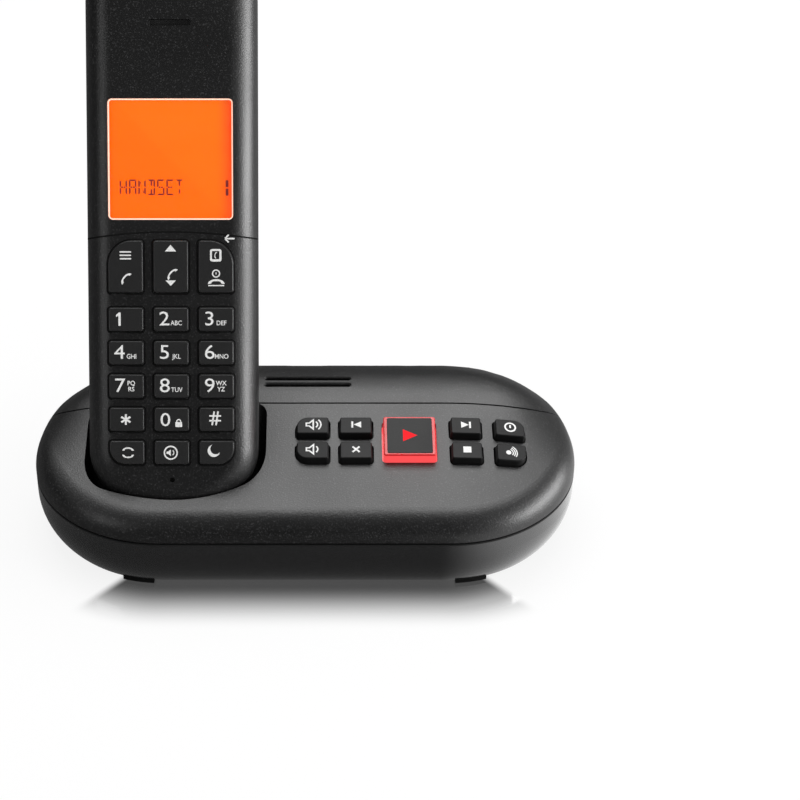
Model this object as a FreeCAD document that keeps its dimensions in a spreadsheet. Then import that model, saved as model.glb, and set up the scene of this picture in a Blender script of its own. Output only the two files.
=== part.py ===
import FreeCAD, Part

import math
import os

import Sketcher
from FreeCAD import Placement, Rotation, Vector

# Cordless telephone answering machine: a long rounded base with a sloping control panel and a
# cradle, and the handset that stands in the cradle.  Millimetres.  X runs to the right along the
# base, Y to the back and Z up.  While the pieces are drawn, X = 0 is the handset's middle plane,
# Y = 0 the middle of the base's depth and Z = 0 the table.

doc = FreeCAD.newDocument("answering_machine")

# ------------------------------------------------------------------ driving dimensions
DRIVING = {
    # base outline and shells
    "base_half_depth": 38.5,        # radius of both round ends
    "left_arc": 3.7,                # centre of the left round end, left of the handset's middle
    "right_arc": 78.4,              # centre of the right round end
    "floor_gap": 1.0,               # underside of the base above the table
    "hull_radius": 18.0,            # round between the side and the underside
    "hull_centre": 13.0,            # height where that round meets the upright side
    "seam_height": 18.0,            # joint of the lower and upper shells
    "seam_gap": 0.5,
    "seam_bevel": 0.25,             # along both edges of the shells' joint
    "shell_wall": 2.0,
    "top_round": 8.6,               # round between the top and the upright side
    # sloping panel: a plane that rolls over to the back and drops towards the ends
    "panel_y": -9.55,               # middle of the key field
    "panel_z": 31.53,
    "panel_tilt": 13.1,
    "back_roll_start": 8.5,
    "back_roll_radius": 27.0,
    "crown_radius": 140.0,
    "shoulder_start": 20.0,         # the rear corners fall away beyond this radius
    "shoulder_curve": 0.022,        # their fall per square of the distance beyond it
    "shoulder_from": -28.0,         # directions round the end's centre, from straight out:
    "shoulder_full": 25.0,          # the fall begins, is whole, and is gone again
    "shoulder_ease": 30.0,
    "shoulder_to": 90.0,
    "rear_seam_y": 5.8,             # joint of the front and rear covers
    "rear_seam_turn": 19.6,         # beyond the end's centre it turns to the back
    "rear_seam_corner": 22.0,
    "lip_thickness": 0.9,           # tongue of the lower shell inside the upper ones
    "lip_height": 1.0,
    "fit_clearance": 0.2,
    # handset
    "handset_lean": 31.0,           # back from upright
    "handset_face_y": -28.46,       # a point of the handset's front face at the cradle's edge
    "handset_face_z": 26.9,
    "handset_width": 48.2,
    "handset_below": 6.0,           # length hidden in the cradle
    "handset_above": 155.0,
    "handset_depth": 24.5,
    "handset_end_radius": 28.0,
    "handset_top_radius": 62.0,
    "handset_corner": 16.0,
    "handset_top_corner": 14.0,
    "handset_front_round": 8.0,
    "handset_back_round": 10.0,
    "handset_wall": 1.8,
    "handset_seam_depth": 9.0,      # joint of its front and back shells, behind the face
    "bezel_seam_radius": 145.0,     # arched joint of the display bezel and the key front
    # cradle well, parallel to the handset
    "cradle_half_width": 26.2,
    "cradle_front_gap": 0.86,
    "cradle_front_radius": 52.7,
    "cradle_corner": 10.0,
    "cradle_back_gap": 0.46,
    "cradle_back_corner": 3.0,
    "cradle_floor_gap": 0.5,
    "cradle_wall": 1.6,
    # keys of the base, measured on the panel from panel_y
    "key_width": 9.0,
    "key_depth": 6.0,
    "key_rise": 2.2,
    "key_draft": 9.0,
    "key_corner": 0.9,
    "key_big_corner": 3.6,
    "key_edge": 0.35,
    "key_hole_gap": 0.35,
    "key_flange": 0.9,
    "key_flange_thick": 1.0,
    "key_under_gap": 0.45,
    "key_travel": 0.6,
    "dome_gap": 0.2,
    "dome_radius": 2.4,
    "column_play": 67.6,            # the other columns follow from the gaps between them
    "track_gap": 1.0,               # between the flanges of neighbouring keys
    "play_left_gap": 1.25,
    "play_right_gap": 2.4,
    "power_gap": 1.75,
    "row_gap": 0.8,
    "play_width": 15.2,
    "play_depth": 14.6,
    "play_middle": 0.8,
    "play_rise": 3.0,
    "play_draft": 2.0,
    "play_cap": 13.0,
    "play_cap_thick": 1.2,
    "play_cap_proud": 0.15,
    "mat_top": 6.2,                 # below the panel's surface
    "mat_thick": 0.8,
    "key_board_thick": 1.6,
    "key_board_margin_left": 9.1,   # beyond the middle of the outer columns
    "key_board_margin_right": 6.8,
    "key_board_half": 14.0,
    # keys of the handset, measured along its face
    "phone_key_width": 9.5,
    "phone_key_height": 6.4,
    "phone_row_bottom": 12.95,
    "phone_column_gap": 1.65,       # between the flanges of neighbouring keys
    "phone_row_gap": 1.5,
    "phone_key_rise": 1.0,
    "phone_key_draft": 14.0,
    "phone_key_corner": 0.9,
    "phone_key_edge": 0.3,
    "phone_key_big_corner": 4.6,
    "phone_hole_gap": 0.3,
    "phone_under_gap": 0.7,
    "phone_flange": 0.5,
    "phone_flange_thick": 0.8,
    "phone_travel": 0.5,
    "tall_key_gap": 4.45,           # above the digits' top row
    "tall_key_height": 14.3,
    "bezel_seam_gap": 2.5,          # above the tall keys
    "phone_mat_top": 4.8,
    "phone_mat_thick": 0.6,
    "phone_board_thick": 1.2,
    # display
    "window_width": 34.8,
    "window_gap": 6.0,              # above the tall keys
    "window_height": 33.5,
    "window_corner": 1.2,
    "window_thick": 1.6,
    "window_sunk": 0.2,
    "display_border": 1.6,
    "display_thick": 2.4,
    "earpiece_y": 133.0,
    "microphone_y": 5.1,
    # battery bay
    "cell_radius": 5.25,
    "cell_length": 44.5,
    "cell_pitch": 11.1,
    "bay_bottom": 17.0,
    "bay_length": 50.0,
    "bay_wall": 1.2,
    "cover_half_width": 15.5,
    "cover_bottom": 12.0,
    "cover_length": 62.0,
    "cover_thick": 1.5,
    "cover_gap": 0.25,
    # inside the base
    "speaker_x": 38.0,
    "speaker_y": 18.0,
    "speaker_radius": 13.2,
    "speaker_top": 23.0,
    "gasket_thick": 1.0,
    "slot_length": 25.3,
    "slot_width": 1.4,
    "slot_bevel": 0.4,
    "slot_front_y": 13.3,
    "slot_pitch": 3.3,
    "main_board_left": 33.0,
    "main_board_right": 92.0,
    "main_board_front": -20.0,
    "main_board_back": 32.5,
    "main_board_bottom": 4.0,
    "board_thick": 1.6,
    "line_socket_x": 58.0,
    "power_socket_x": 76.0,
    "socket_face_y": 36.2,
    # fixings
    "case_screw_radius": 1.25,
    "case_head_radius": 2.8,
    "case_head_seat": 14.0,
    "case_screw_length": 10.0,
    "board_screw_radius": 1.0,
    "board_fixing_inset": 1.8,      # screws of the key board, in from its long edges
    "board_fixing_left": 2.9,
    "board_fixing_right": 2.5,
    "foot_outer_radius": 34.3,
    "foot_inner_radius": 26.0,
    "foot_start": 4.0,              # from straight ahead, in degrees round the end's centre
    "foot_span": 15.4,
    "foot_thick": 1.6,
    "contact_x": 7.0,
    "contact_depth": 12.3,
}

sheet = doc.addObject("Spreadsheet::Sheet", "driving")
sheet.Label = "driving dimensions"
for row, (alias, number) in enumerate(DRIVING.items(), 1):
    sheet.set("A%d" % row, alias.replace("_", " "))
    sheet.set("B%d" % row, str(number))
    sheet.setAlias("B%d" % row, alias)
doc.recompute()


class Size:
    """A length or angle that carries its value and the spreadsheet expression behind it."""

    def __init__(self, number, text):
        self.number = number
        self.text = text

    def __float__(self):
        return float(self.number)

    def __add__(self, other):
        return Size(float(self) + float(other), "(%s + %s)" % (self.text, expression(other)))

    def __sub__(self, other):
        return Size(float(self) - float(other), "(%s - %s)" % (self.text, expression(other)))

    def __mul__(self, other):
        return Size(float(self) * float(other), "%s * %s" % (self.text, expression(other)))

    def __truediv__(self, other):
        return Size(float(self) / float(other), "%s / %s" % (self.text, expression(other)))

    def __neg__(self):
        return Size(-float(self), "(0 - %s)" % self.text)


def expression(size):
    return size.text if isinstance(size, Size) else "%.9g" % size


class Sheet:
    """Reads the spreadsheet's aliases as sizes: d.shell_wall and so on."""

    def __getattr__(self, alias):
        return Size(float(sheet.get(alias)), "driving." + alias)


d = Sheet()
NONE = Size(0.0, "0")


def mm(value):
    return Size(value, "(%s)" % value)


# ------------------------------------------------------------------ small helpers
def bind(thing, **sizes):
    for prop, size in sizes.items():
        thing.setExpression(prop, expression(size))
    return thing


def at(x=0.0, y=0.0, z=0.0):
    return Placement(Vector(float(x), float(y), float(z)), Rotation())


def block(name, length, width, height, corner, frame=Placement()):
    box = bind(doc.addObject("Part::Box", name), Length=length, Width=width, Height=height)
    box.Placement = frame.multiply(at(*[float(value) for value in corner]))
    return box


def cylinder(name, radius, height, foot, frame=Placement()):
    rod = bind(doc.addObject("Part::Cylinder", name), Radius=radius, Height=height)
    rod.Placement = frame.multiply(at(*[float(value) for value in foot]))
    return rod


def fuse(name, *things):
    joined = doc.addObject("Part::MultiFuse", name)
    joined.Shapes = list(things)
    return joined


def cut(name, base, *tools):
    result = doc.addObject("Part::Cut", name)
    result.Base = base
    result.Tool = tools[0] if len(tools) == 1 else fuse(name + "_tools", *tools)
    return result


def common(name, first, second):
    result = doc.addObject("Part::Common", name)
    result.Base = first
    result.Tool = second
    return result


def group(name, *things):
    result = doc.addObject("Part::Compound", name)
    result.Links = list(things)
    return result


def loop_of(sketch, pieces):
    """Adds lines and arcs end to end, each one tangent to the next."""
    for piece in pieces:
        sketch.addGeometry(piece)
    for index in range(len(pieces)):
        following = (index + 1) % len(pieces)
        sketch.addConstraint(Sketcher.Constraint("Tangent", index, 2, following, 1))


def arc(x, y, radius, start, end):
    circle = Part.Circle(Vector(x, y, 0), Vector(0, 0, 1), float(radius))
    return Part.ArcOfCircle(circle, math.radians(start), math.radians(end))


def line(x1, y1, x2, y2):
    return Part.LineSegment(Vector(x1, y1, 0), Vector(x2, y2, 0))


def dimension(sketch, kind, size, *places):
    """A driving constraint whose value is bound to the spreadsheet."""
    index = sketch.addConstraint(Sketcher.Constraint(kind, *places, float(size)))
    sketch.setExpression("Constraints[%d]" % index, expression(size))


ORIGIN_POINT = (-1, 1)


def rounded_outline(half_width, half_depth, front_left, front_right, back_right, back_left):
    """An outline maker: a rectangle about the origin with a radius of its own at each corner."""
    radii = [front_left, front_right, back_right, back_left]

    def draw(sketch):
        w, h = float(half_width), float(half_depth)
        fl, fr, br, bl = [float(radius) for radius in radii]
        loop_of(sketch, [
            line(-w + fl, -h, w - fr, -h), arc(w - fr, -h + fr, fr, -90, 0),
            line(w, -h + fr, w, h - br), arc(w - br, h - br, br, 0, 90),
            line(w - br, h, -w + bl, h), arc(-w + bl, h - bl, bl, 90, 180),
            line(-w, h - bl, -w, -h + fl), arc(-w + fl, -h + fl, fl, 180, 270)])
        for side in (0, 4):
            sketch.addConstraint(Sketcher.Constraint("Horizontal", side))
        for side in (2, 6):
            sketch.addConstraint(Sketcher.Constraint("Vertical", side))
        dimension(sketch, "DistanceX", half_width, *ORIGIN_POINT, 2, 1)
        dimension(sketch, "DistanceX", half_width, 6, 1, *ORIGIN_POINT)
        dimension(sketch, "DistanceY", half_depth, 0, 1, *ORIGIN_POINT)
        dimension(sketch, "DistanceY", half_depth, *ORIGIN_POINT, 4, 1)
        for corner, radius in zip((7, 1, 3, 5), radii):
            dimension(sketch, "Radius", radius, corner)
    return draw


def plain_outline(half_width, half_depth, corner):
    return rounded_outline(half_width, half_depth, corner, corner, corner, corner)


def stadium_outline(inset):
    """The base's plan, smaller all round by the inset."""
    def draw(sketch):
        radius = d.base_half_depth - inset
        r, left, right = float(radius), -float(d.left_arc), float(d.right_arc)
        loop_of(sketch, [line(left, -r, right, -r), arc(right, 0, r, -90, 90),
                         line(right, r, left, r), arc(left, 0, r, 90, 270)])
        for end in (1, 3):
            sketch.addConstraint(Sketcher.Constraint("PointOnObject", end, 3, -1))
        sketch.addConstraint(Sketcher.Constraint("Horizontal", 0))
        dimension(sketch, "Radius", radius, 1)
        dimension(sketch, "DistanceX", d.right_arc, *ORIGIN_POINT, 1, 3)
        dimension(sketch, "DistanceX", d.left_arc, 3, 3, *ORIGIN_POINT)
    return draw


def prism(name, outline, up, down=NONE, frame=Placement()):
    """A straight solid on an outline, from down below its plane to up above it."""
    sketch = doc.addObject("Sketcher::SketchObject", name + "_outline")
    outline(sketch)
    sketch.Placement = frame
    solid = doc.addObject("Part::Extrusion", name)
    solid.Base = sketch
    solid.DirMode = "Normal"
    solid.Solid = True
    return bind(solid, LengthFwd=up, LengthRev=down)


def body_sketch(body, name, outline, x=NONE, y=NONE, level=NONE, plane="XY_Plane"):
    support = [face for face in body.Origin.OriginFeatures if face.Role == plane][0]
    sketch = body.newObject("Sketcher::SketchObject", name)
    sketch.AttachmentSupport = [(support, "")]
    sketch.MapMode = "FlatFace"
    for axis, size in zip("xyz", (x, y, level)):
        sketch.setExpression("AttachmentOffset.Base." + axis, expression(size))
    outline(sketch)
    return sketch


def pad(body, name, sketch, up, down=NONE, draft=NONE):
    feature = body.newObject("PartDesign::Pad", name)
    feature.Profile = sketch
    bind(feature, Length=up, TaperAngle=-draft)
    if float(down) > 0:
        feature.SideType = "Two sides"
        bind(feature, Length2=down)
    return feature


def pocket(body, name, sketch, depth, along=False):
    """Cuts against the sketch's normal, or along it."""
    feature = body.newObject("PartDesign::Pocket", name)
    feature.Profile = sketch
    feature.Reversed = along
    return bind(feature, Length=depth)


def edges_at(shape, level, tolerance=1e-4):
    """Names of the edges that lie flat at one height."""
    return ["Edge%d" % number for number, edge in enumerate(shape.Edges, 1)
            if abs(edge.BoundBox.ZMin - level) < tolerance
            and abs(edge.BoundBox.ZMax - level) < tolerance]


def round_edges(body, name, level, radius):
    """Rounds every edge of the body's tip that lies at one height."""
    doc.recompute()
    before = body.Tip
    feature = body.newObject("PartDesign::Fillet", name)
    feature.Base = (before, edges_at(before.Shape, float(level)))
    return bind(feature, Radius=radius)


def new_body(name):
    return doc.addObject("PartDesign::Body", name)


sub_parts = []


def sub_part(name, thing, frame=Placement(), pieces=1):
    """Names a finished sub-part and sets it in its frame."""
    thing.Label = name
    sub_parts.append((name, thing, frame, pieces))
    return thing


# ------------------------------------------------------------------ frames
def turned(axis, angle):
    return Rotation(axis, float(angle))


panel = Placement(Vector(0, d.panel_y, d.panel_z), turned(Vector(1, 0, 0), d.panel_tilt))
handset = Placement(Vector(0, d.handset_face_y, d.handset_face_z),
                    turned(Vector(1, 0, 0), 90 - float(d.handset_lean)))


def crown_drop(x):
    """How far the panel's surface has dropped at x, towards the right end."""
    distance = max(0.0, float(x) - float(d.right_arc))
    radius = float(d.crown_radius)
    return radius - math.sqrt(radius ** 2 - distance ** 2)


def key_frame(x, slope):
    """On the panel's surface: x along the base, slope up the panel, Z out of the surface."""
    distance = max(0.0, float(x) - float(d.right_arc))
    lean = math.degrees(math.asin(distance / float(d.crown_radius)))
    return panel.multiply(Placement(Vector(x, slope, -crown_drop(x)),
                                    turned(Vector(0, 1, 0), lean)))


# ------------------------------------------------------------------ the base's form
def panel_height(y, inset):
    """Height of the inset top surface over the middle of the base."""
    slope = math.tan(math.radians(float(d.panel_tilt)))
    lean = math.radians(float(d.panel_tilt))
    roll, start = float(d.back_roll_radius), float(d.back_roll_start)
    centre_y = start + roll * math.sin(lean)
    centre_z = float(d.panel_z) + slope * (start - float(d.panel_y)) - roll * math.cos(lean)
    radius = roll - inset
    roll_y = centre_y - radius * math.sin(lean)
    if y < roll_y:
        return centre_z + radius * math.cos(lean) + slope * (y - roll_y)
    return centre_z + math.sqrt(radius ** 2 - min(y - centre_y, 0.98 * radius) ** 2)


def end_drop(x, inset):
    """How far the inset top surface drops towards either end."""
    beyond = max(0.0, x - float(d.right_arc), -float(d.left_arc) - x)
    radius = float(d.crown_radius) - inset
    return radius - math.sqrt(radius ** 2 - beyond ** 2)


def eased(value, start, end):
    share = min(1.0, max(0.0, (value - start) / (end - start)))
    return share * share * (3 - 2 * share)


def shoulder_drop(x, y, inset):
    """How far a rear corner falls away, beyond the panel and between two directions."""
    beyond = max(0.0, x - float(d.right_arc), -float(d.left_arc) - x)
    over = min(math.hypot(beyond, y), 1.2 * float(d.base_half_depth)) - float(d.shoulder_start)
    if over <= 0 or beyond <= 0:
        return 0.0
    turn = math.degrees(math.atan2(y, beyond))
    share = (eased(turn, float(d.shoulder_from), float(d.shoulder_full))
             * (1 - eased(turn, float(d.shoulder_ease), float(d.shoulder_to))))
    slope = 2 * share * float(d.shoulder_curve) * over
    return slope * over / 2 + inset * (math.sqrt(1 + slope ** 2) - 1)


def top_surface(inset):
    """The panel's surface: one smooth face through points of the profiles above."""
    reach = float(d.base_half_depth) + 2.0
    left, right = -float(d.left_arc) - reach, float(d.right_arc) + reach
    along, across = 44, 30
    points = []
    for i in range(along + 1):
        x = left + (right - left) * i / along
        ys = [-reach + 2 * reach * j / across for j in range(across + 1)]
        points.append([Vector(x, y, panel_height(y, inset) - end_drop(x, inset)
                              - shoulder_drop(x, y, inset)) for y in ys])
    surface = Part.BSplineSurface()
    surface.interpolate(points)
    return surface.toShape()


def base_form(name, inset):
    """The whole base as a solid, smaller all round by the inset.

    A stadium prism is trimmed under the top surface, its top and bottom edges are rounded and
    the bottom is cut off flat."""
    margin = float(inset)
    radius = float(d.base_half_depth) - margin
    left, right = -float(d.left_arc), float(d.right_arc)
    low = float(d.hull_centre) - float(d.hull_radius) + margin
    sky = 90.0
    outline = Part.Wire([
        Part.LineSegment(Vector(left, -radius, low), Vector(right, -radius, low)).toShape(),
        Part.Arc(Vector(right, -radius, low), Vector(right + radius, 0, low),
                 Vector(right, radius, low)).toShape(),
        Part.LineSegment(Vector(right, radius, low), Vector(left, radius, low)).toShape(),
        Part.Arc(Vector(left, radius, low), Vector(left - radius, 0, low),
                 Vector(left, -radius, low)).toShape()])
    column = Part.Face(outline).extrude(Vector(0, 0, sky))
    form = column.cut(top_surface(margin).extrude(Vector(0, 0, sky))).Solids[0]
    crest = [edge for edge in form.Edges
             if edge.BoundBox.ZMin > float(d.hull_centre) and edge.Length > radius / 2]
    form = form.makeFillet(float(d.top_round) - margin, crest)
    keel = [edge for edge in form.Edges
            if abs(edge.BoundBox.ZMax - low) < 1e-5 and abs(edge.BoundBox.ZMin - low) < 1e-5]
    form = form.makeFillet(float(d.hull_radius) - margin, keel)
    span = 2 * (right - left) + 4 * radius
    waste = Part.makeBox(span, span, sky, Vector(-span / 2, -span / 2,
                                                 float(d.floor_gap) + margin - sky))
    solid = doc.addObject("Part::Feature", name)
    solid.Shape = form.cut(waste).Solids[0]
    return solid


FAR = 400.0      # half size of the boxes that part the base's form at a plane


def half_space(name, x=-FAR / 2, y=-FAR / 2, z=-FAR / 2, frame=Placement()):
    """A big box whose lower corner is moved to the cutting plane."""
    return block(name, FAR, FAR, FAR, (x, y, z), frame)


base_outer = base_form("base_outer", 0.0)
base_inner = base_form("base_inner", d.shell_wall)
lip_inset = d.shell_wall + d.fit_clearance + d.lip_thickness
well_room = base_form("well_room", lip_inset + d.fit_clearance * 2)

half_gap = d.seam_gap / 2


def part_of_form(name, level, upward):
    """The base's form on one side of the shells' joint, with a bevel along the joint's edge."""
    side = Part.makeBox(FAR, FAR, FAR, Vector(-FAR / 2, -FAR / 2, level if upward else level - FAR))
    form = base_outer.Shape.common(side).Solids[0]
    rim = [edge for edge in form.Edges
           if abs(edge.BoundBox.ZMin - level) < 1e-4 and abs(edge.BoundBox.ZMax - level) < 1e-4]
    solid = doc.addObject("Part::Feature", name)
    solid.Shape = form.makeChamfer(float(d.seam_bevel), rim)
    return solid


def behind_joint(name, grow):
    """Room of the rear cover: straight in front, turning to the back near both ends."""
    corner = d.rear_seam_corner + grow
    half_width = (d.left_arc + d.right_arc) / 2 + d.rear_seam_turn + d.rear_seam_corner + grow
    middle = at((d.right_arc - d.left_arc) / 2, d.rear_seam_y + FAR / 4, 0)
    square = mm(1.0)
    outline = rounded_outline(half_width, mm(FAR / 4) + grow, corner, corner, square, square)
    return prism(name, outline, mm(90.0), NONE, middle)


upper_form = part_of_form("upper_form", float(d.seam_height + half_gap), True)
lower_form = part_of_form("lower_form", float(d.seam_height - half_gap), False)
upper_walls = cut("upper_walls", upper_form, base_inner)
behind_seam = behind_joint("behind_seam", -half_gap)
ahead_of_seam = cut("ahead_of_seam", half_space("all_round"), behind_joint("joint_room", half_gap))

# ------------------------------------------------------------------ fixings of the case
# each screw comes up from the underside: x, y and the cover that it holds
CASE_SCREWS = [(-32.6, -8.0, "front"), (107.0, -5.0, "front"), (-26.0, 18.0, "rear"),
               (98.0, 18.0, "rear"), (12.0, 28.0, "rear")]
case_screws = []
lower_bosses = []
lower_bores = []
upper_bosses = {"front": [], "rear": []}
upper_bores = {"front": [], "rear": []}
head_height = 2.0
boss_top = d.case_head_seat + 2.0
for number, (x, y, cover) in enumerate(CASE_SCREWS, 1):
    tag = "_%d" % number
    seat = d.case_head_seat
    head = cylinder("screw_head" + tag, d.case_head_radius, head_height, (x, y, seat - head_height))
    shank = cylinder("screw_shank" + tag, d.case_screw_radius, d.case_screw_length, (x, y, seat))
    recess = cylinder("screw_recess" + tag, 1.0, 0.9, (x, y, seat - head_height))
    case_screws.append(cut("screw" + tag, fuse("screw_blank" + tag, head, shank), recess))
    lower_bosses.append(cylinder("lower_boss" + tag, d.case_head_radius + 1.8,
                                 boss_top - d.floor_gap - 0.5, (x, y, d.floor_gap + 0.5)))
    lower_bores.append(cylinder("head_bore" + tag, d.case_head_radius + 0.3,
                                seat + 5.0, (x, y, -5.0)))
    lower_bores.append(cylinder("shank_bore" + tag, d.case_screw_radius + 0.4, 20.0, (x, y, 0.0)))
    upper_bosses[cover].append(cylinder("upper_boss" + tag, d.case_screw_radius + 1.8,
                                        30.0, (x, y, boss_top)))
    upper_bores[cover].append(cylinder("upper_bore" + tag, d.case_screw_radius,
                                       d.case_screw_length + 0.5, (x, y, seat)))
sub_part("case_screws", group("case_screw_set", *case_screws), pieces=len(case_screws))

# ------------------------------------------------------------------ feet and lower shell
feet = []


def foot_pad(name, height, grow):
    """A short sector of a ring round one end of the base."""
    outer = cylinder(name + "_outer", d.foot_outer_radius + grow, height, (0, 0, 0))
    inner = cylinder(name + "_inner", d.foot_inner_radius - grow, height, (0, 0, 0))
    bind(outer, Angle=d.foot_span)
    return cut(name, outer, inner)


for number, (end, turn) in enumerate((("right", -90.0), ("right", 90.0), ("left", -90.0),
                                      ("left", 90.0)), 1):
    centre = float(d.right_arc) if end == "right" else -float(d.left_arc)
    outward = (end == "right") == (turn < 0)
    start = turn + (float(d.foot_start) if outward else -float(d.foot_start + d.foot_span))
    pad_blank = foot_pad("foot_%d" % number, d.foot_thick, 0.0)
    pad_blank.Placement = Placement(Vector(centre, 0, 0), turned(Vector(0, 0, 1), start))
    feet.append(pad_blank)
sub_part("rubber_feet", group("foot_set", *feet), pieces=len(feet))

lower_walls = cut("lower_walls", lower_form, base_inner)
lip_foot = 3.5
lip = cut("lip", prism("lip_outer", stadium_outline(d.shell_wall + d.fit_clearance),
                       d.lip_height + lip_foot, frame=at(0, 0, d.seam_height - lip_foot)),
          prism("lip_inner", stadium_outline(lip_inset), d.lip_height + lip_foot,
                frame=at(0, 0, d.seam_height - lip_foot)))
lip_root = cut("lip_root", prism("lip_root_outer", stadium_outline(d.shell_wall - 0.5),
                                 lip_foot - 0.7, frame=at(0, 0, d.seam_height - lip_foot)),
               prism("lip_root_inner", stadium_outline(lip_inset), lip_foot - 0.7,
                     frame=at(0, 0, d.seam_height - lip_foot)))
inside_top = d.floor_gap + d.shell_wall
standoffs = []
board_left, board_right = d.main_board_left + 5.0, d.main_board_right - 5.0
for number, (x, y) in enumerate(((board_left, d.main_board_front + 5.0),
                                 (board_right, d.main_board_front + 5.0),
                                 (board_left + 22.0, d.main_board_back - 6.0)), 1):
    standoffs.append(cylinder("standoff_%d" % number, 2.6, d.main_board_bottom - inside_top + 0.5,
                              (x, y, inside_top - 0.5)))
socket_width = {"line": mm(13.2), "power": mm(9.0)}
board_top = d.main_board_bottom + d.board_thick
notches = []
for kind, x in (("line", d.line_socket_x), ("power", d.power_socket_x)):
    width = socket_width[kind] + 2 * float(d.fit_clearance)
    notches.append(block(kind + "_notch", width, 12.0, 30.0,
                         (x - width / 2, d.socket_face_y - 6.0, board_top - d.fit_clearance)))
boss_room = common("boss_room", fuse("lower_boss_set", *lower_bosses), base_outer)
lower_solid = fuse("lower_solid", lower_walls, lip, lip_root, boss_room, *standoffs)
sub_part("bottom_shell", cut("bottom_shell_body", lower_solid, *lower_bores, *notches, *feet))

# ------------------------------------------------------------------ cradle well
well_front = d.cradle_front_gap
well_depth = d.handset_depth + d.cradle_back_gap


def well_outline(grow):
    """The well's section across the handset: an arched front, round corners and a flat back."""
    def draw(sketch):
        front_radius = d.cradle_front_radius + grow
        corner = d.cradle_corner + grow
        back_corner = d.cradle_back_corner + grow
        w, back = d.cradle_half_width + grow, well_depth + grow
        R, c, b = float(front_radius), float(corner), float(back_corner)
        half, deep = float(w), float(back)
        arch = float(well_front) - float(d.cradle_front_radius)
        corner_y = arch + math.sqrt((R - c) ** 2 - (half - c) ** 2)
        sweep = math.degrees(math.atan2(half - c, corner_y - arch))
        loop_of(sketch, [
            arc(0, arch, R, 90 - sweep, 90 + sweep),
            arc(-half + c, corner_y, c, 90 + sweep, 180),
            line(-half, corner_y, -half, -deep + b),
            arc(-half + b, -deep + b, b, 180, 270),
            line(-half + b, -deep, half - b, -deep),
            arc(half - b, -deep + b, b, 270, 360),
            line(half, -deep + b, half, corner_y),
            arc(half - c, corner_y, c, 0, 90 - sweep)])
        sketch.addConstraint(Sketcher.Constraint("PointOnObject", 0, 3, -2))
        for side in (2, 6):
            sketch.addConstraint(Sketcher.Constraint("Vertical", side))
        sketch.addConstraint(Sketcher.Constraint("Horizontal", 4))
        dimension(sketch, "Radius", front_radius, 0)
        dimension(sketch, "Radius", corner, 1)
        dimension(sketch, "Radius", corner, 7)
        dimension(sketch, "Radius", back_corner, 3)
        dimension(sketch, "Radius", back_corner, 5)
        dimension(sketch, "DistanceY", d.cradle_front_radius - well_front, 0, 3, *ORIGIN_POINT)
        dimension(sketch, "DistanceX", w, *ORIGIN_POINT, 6, 1)
        dimension(sketch, "DistanceX", w, 2, 1, *ORIGIN_POINT)
        dimension(sketch, "DistanceY", back, 4, 1, *ORIGIN_POINT)
    return draw


# the outline lies across the handset's length: sketch X along X, sketch Y out of its face
across_handset = handset.multiply(Placement(Vector(0, 0, 0), turned(Vector(1, 0, 0), 90)))
well_floor = d.handset_below + d.cradle_floor_gap
well = prism("well", well_outline(NONE), well_floor, mm(80.0), across_handset)
well_block = prism("well_block", well_outline(d.cradle_wall), well_floor + d.cradle_wall,
                   mm(60.0), across_handset)

# ------------------------------------------------------------------ keys of the base
# a cap's foot is wider than its top by the draft
key_spread = float(d.key_rise) * math.tan(math.radians(float(d.key_draft)))
key_foot_half = d.key_width / 2 + key_spread
stop_less, power_less = 0.5, 0.6        # these keys are narrower
key_room = d.key_flange * 2             # two flanges between neighbours
column_track = (d.column_play - d.play_width / 2 - key_room - d.play_left_gap - key_foot_half)
column_volume = column_track - key_foot_half * 2 - key_room - d.track_gap
column_stop = (d.column_play + d.play_width / 2 + key_room + d.play_right_gap
               + key_foot_half - stop_less / 2)
column_power = (column_stop + key_foot_half * 2 - (stop_less + power_less) / 2 + key_room
                + d.power_gap)
half_pitch = d.key_depth / 2 + key_spread + key_room / 2 + d.row_gap / 2
row_back = d.play_middle + half_pitch
row_front = d.play_middle - half_pitch
key_board_left = column_volume - d.key_board_margin_left
key_board_right = column_power + d.key_board_margin_right
# name, column, row, width less than the others, corner that is large
BASE_KEYS = [
    ("volume_up_key", column_volume, row_back, 0.0, "back_left"),
    ("volume_down_key", column_volume, row_front, 0.0, "front_left"),
    ("previous_key", column_track, row_back, 0.0, None),
    ("delete_key", column_track, row_front, 0.0, None),
    ("next_key", column_stop, row_back, stop_less, None),
    ("stop_key", column_stop, row_front, stop_less, None),
    ("answer_power_key", column_power, row_back, power_less, "back_right"),
    ("find_handset_key", column_power, row_front, power_less, "front_right"),
]
CORNERS = ("front_left", "front_right", "back_right", "back_left")


def push_key(name, frame, half_width, half_height, corners, rise, draft, edge, wall, gap,
             flange, flange_thick, flange_half_height=None):
    """A key: a drafted cap above its shell, an upright stem and a flange that keeps it in."""
    body = new_body(name)
    cap = body_sketch(body, name + "_cap", rounded_outline(half_width, half_height, *corners))
    pad(body, name + "_stem", cap, rise, wall + gap, draft)
    round_edges(body, name + "_edge", rise, edge)
    skirt_corners = [corner + (NONE if flange_half_height else flange) for corner in corners]
    skirt = body_sketch(body, name + "_flange",
                        rounded_outline(half_width + flange,
                                        flange_half_height or half_height + flange,
                                        *skirt_corners), level=-(wall + gap + flange_thick))
    pad(body, name + "_skirt", skirt, flange_thick)
    return sub_part(name, body, frame)


def key_hole(name, frame, half_width, half_height, corners, clearance, depth):
    grown = [corner + clearance for corner in corners]
    outline = rounded_outline(half_width + clearance, half_height + clearance, *grown)
    return prism(name + "_hole", outline, depth, depth, frame)


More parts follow.
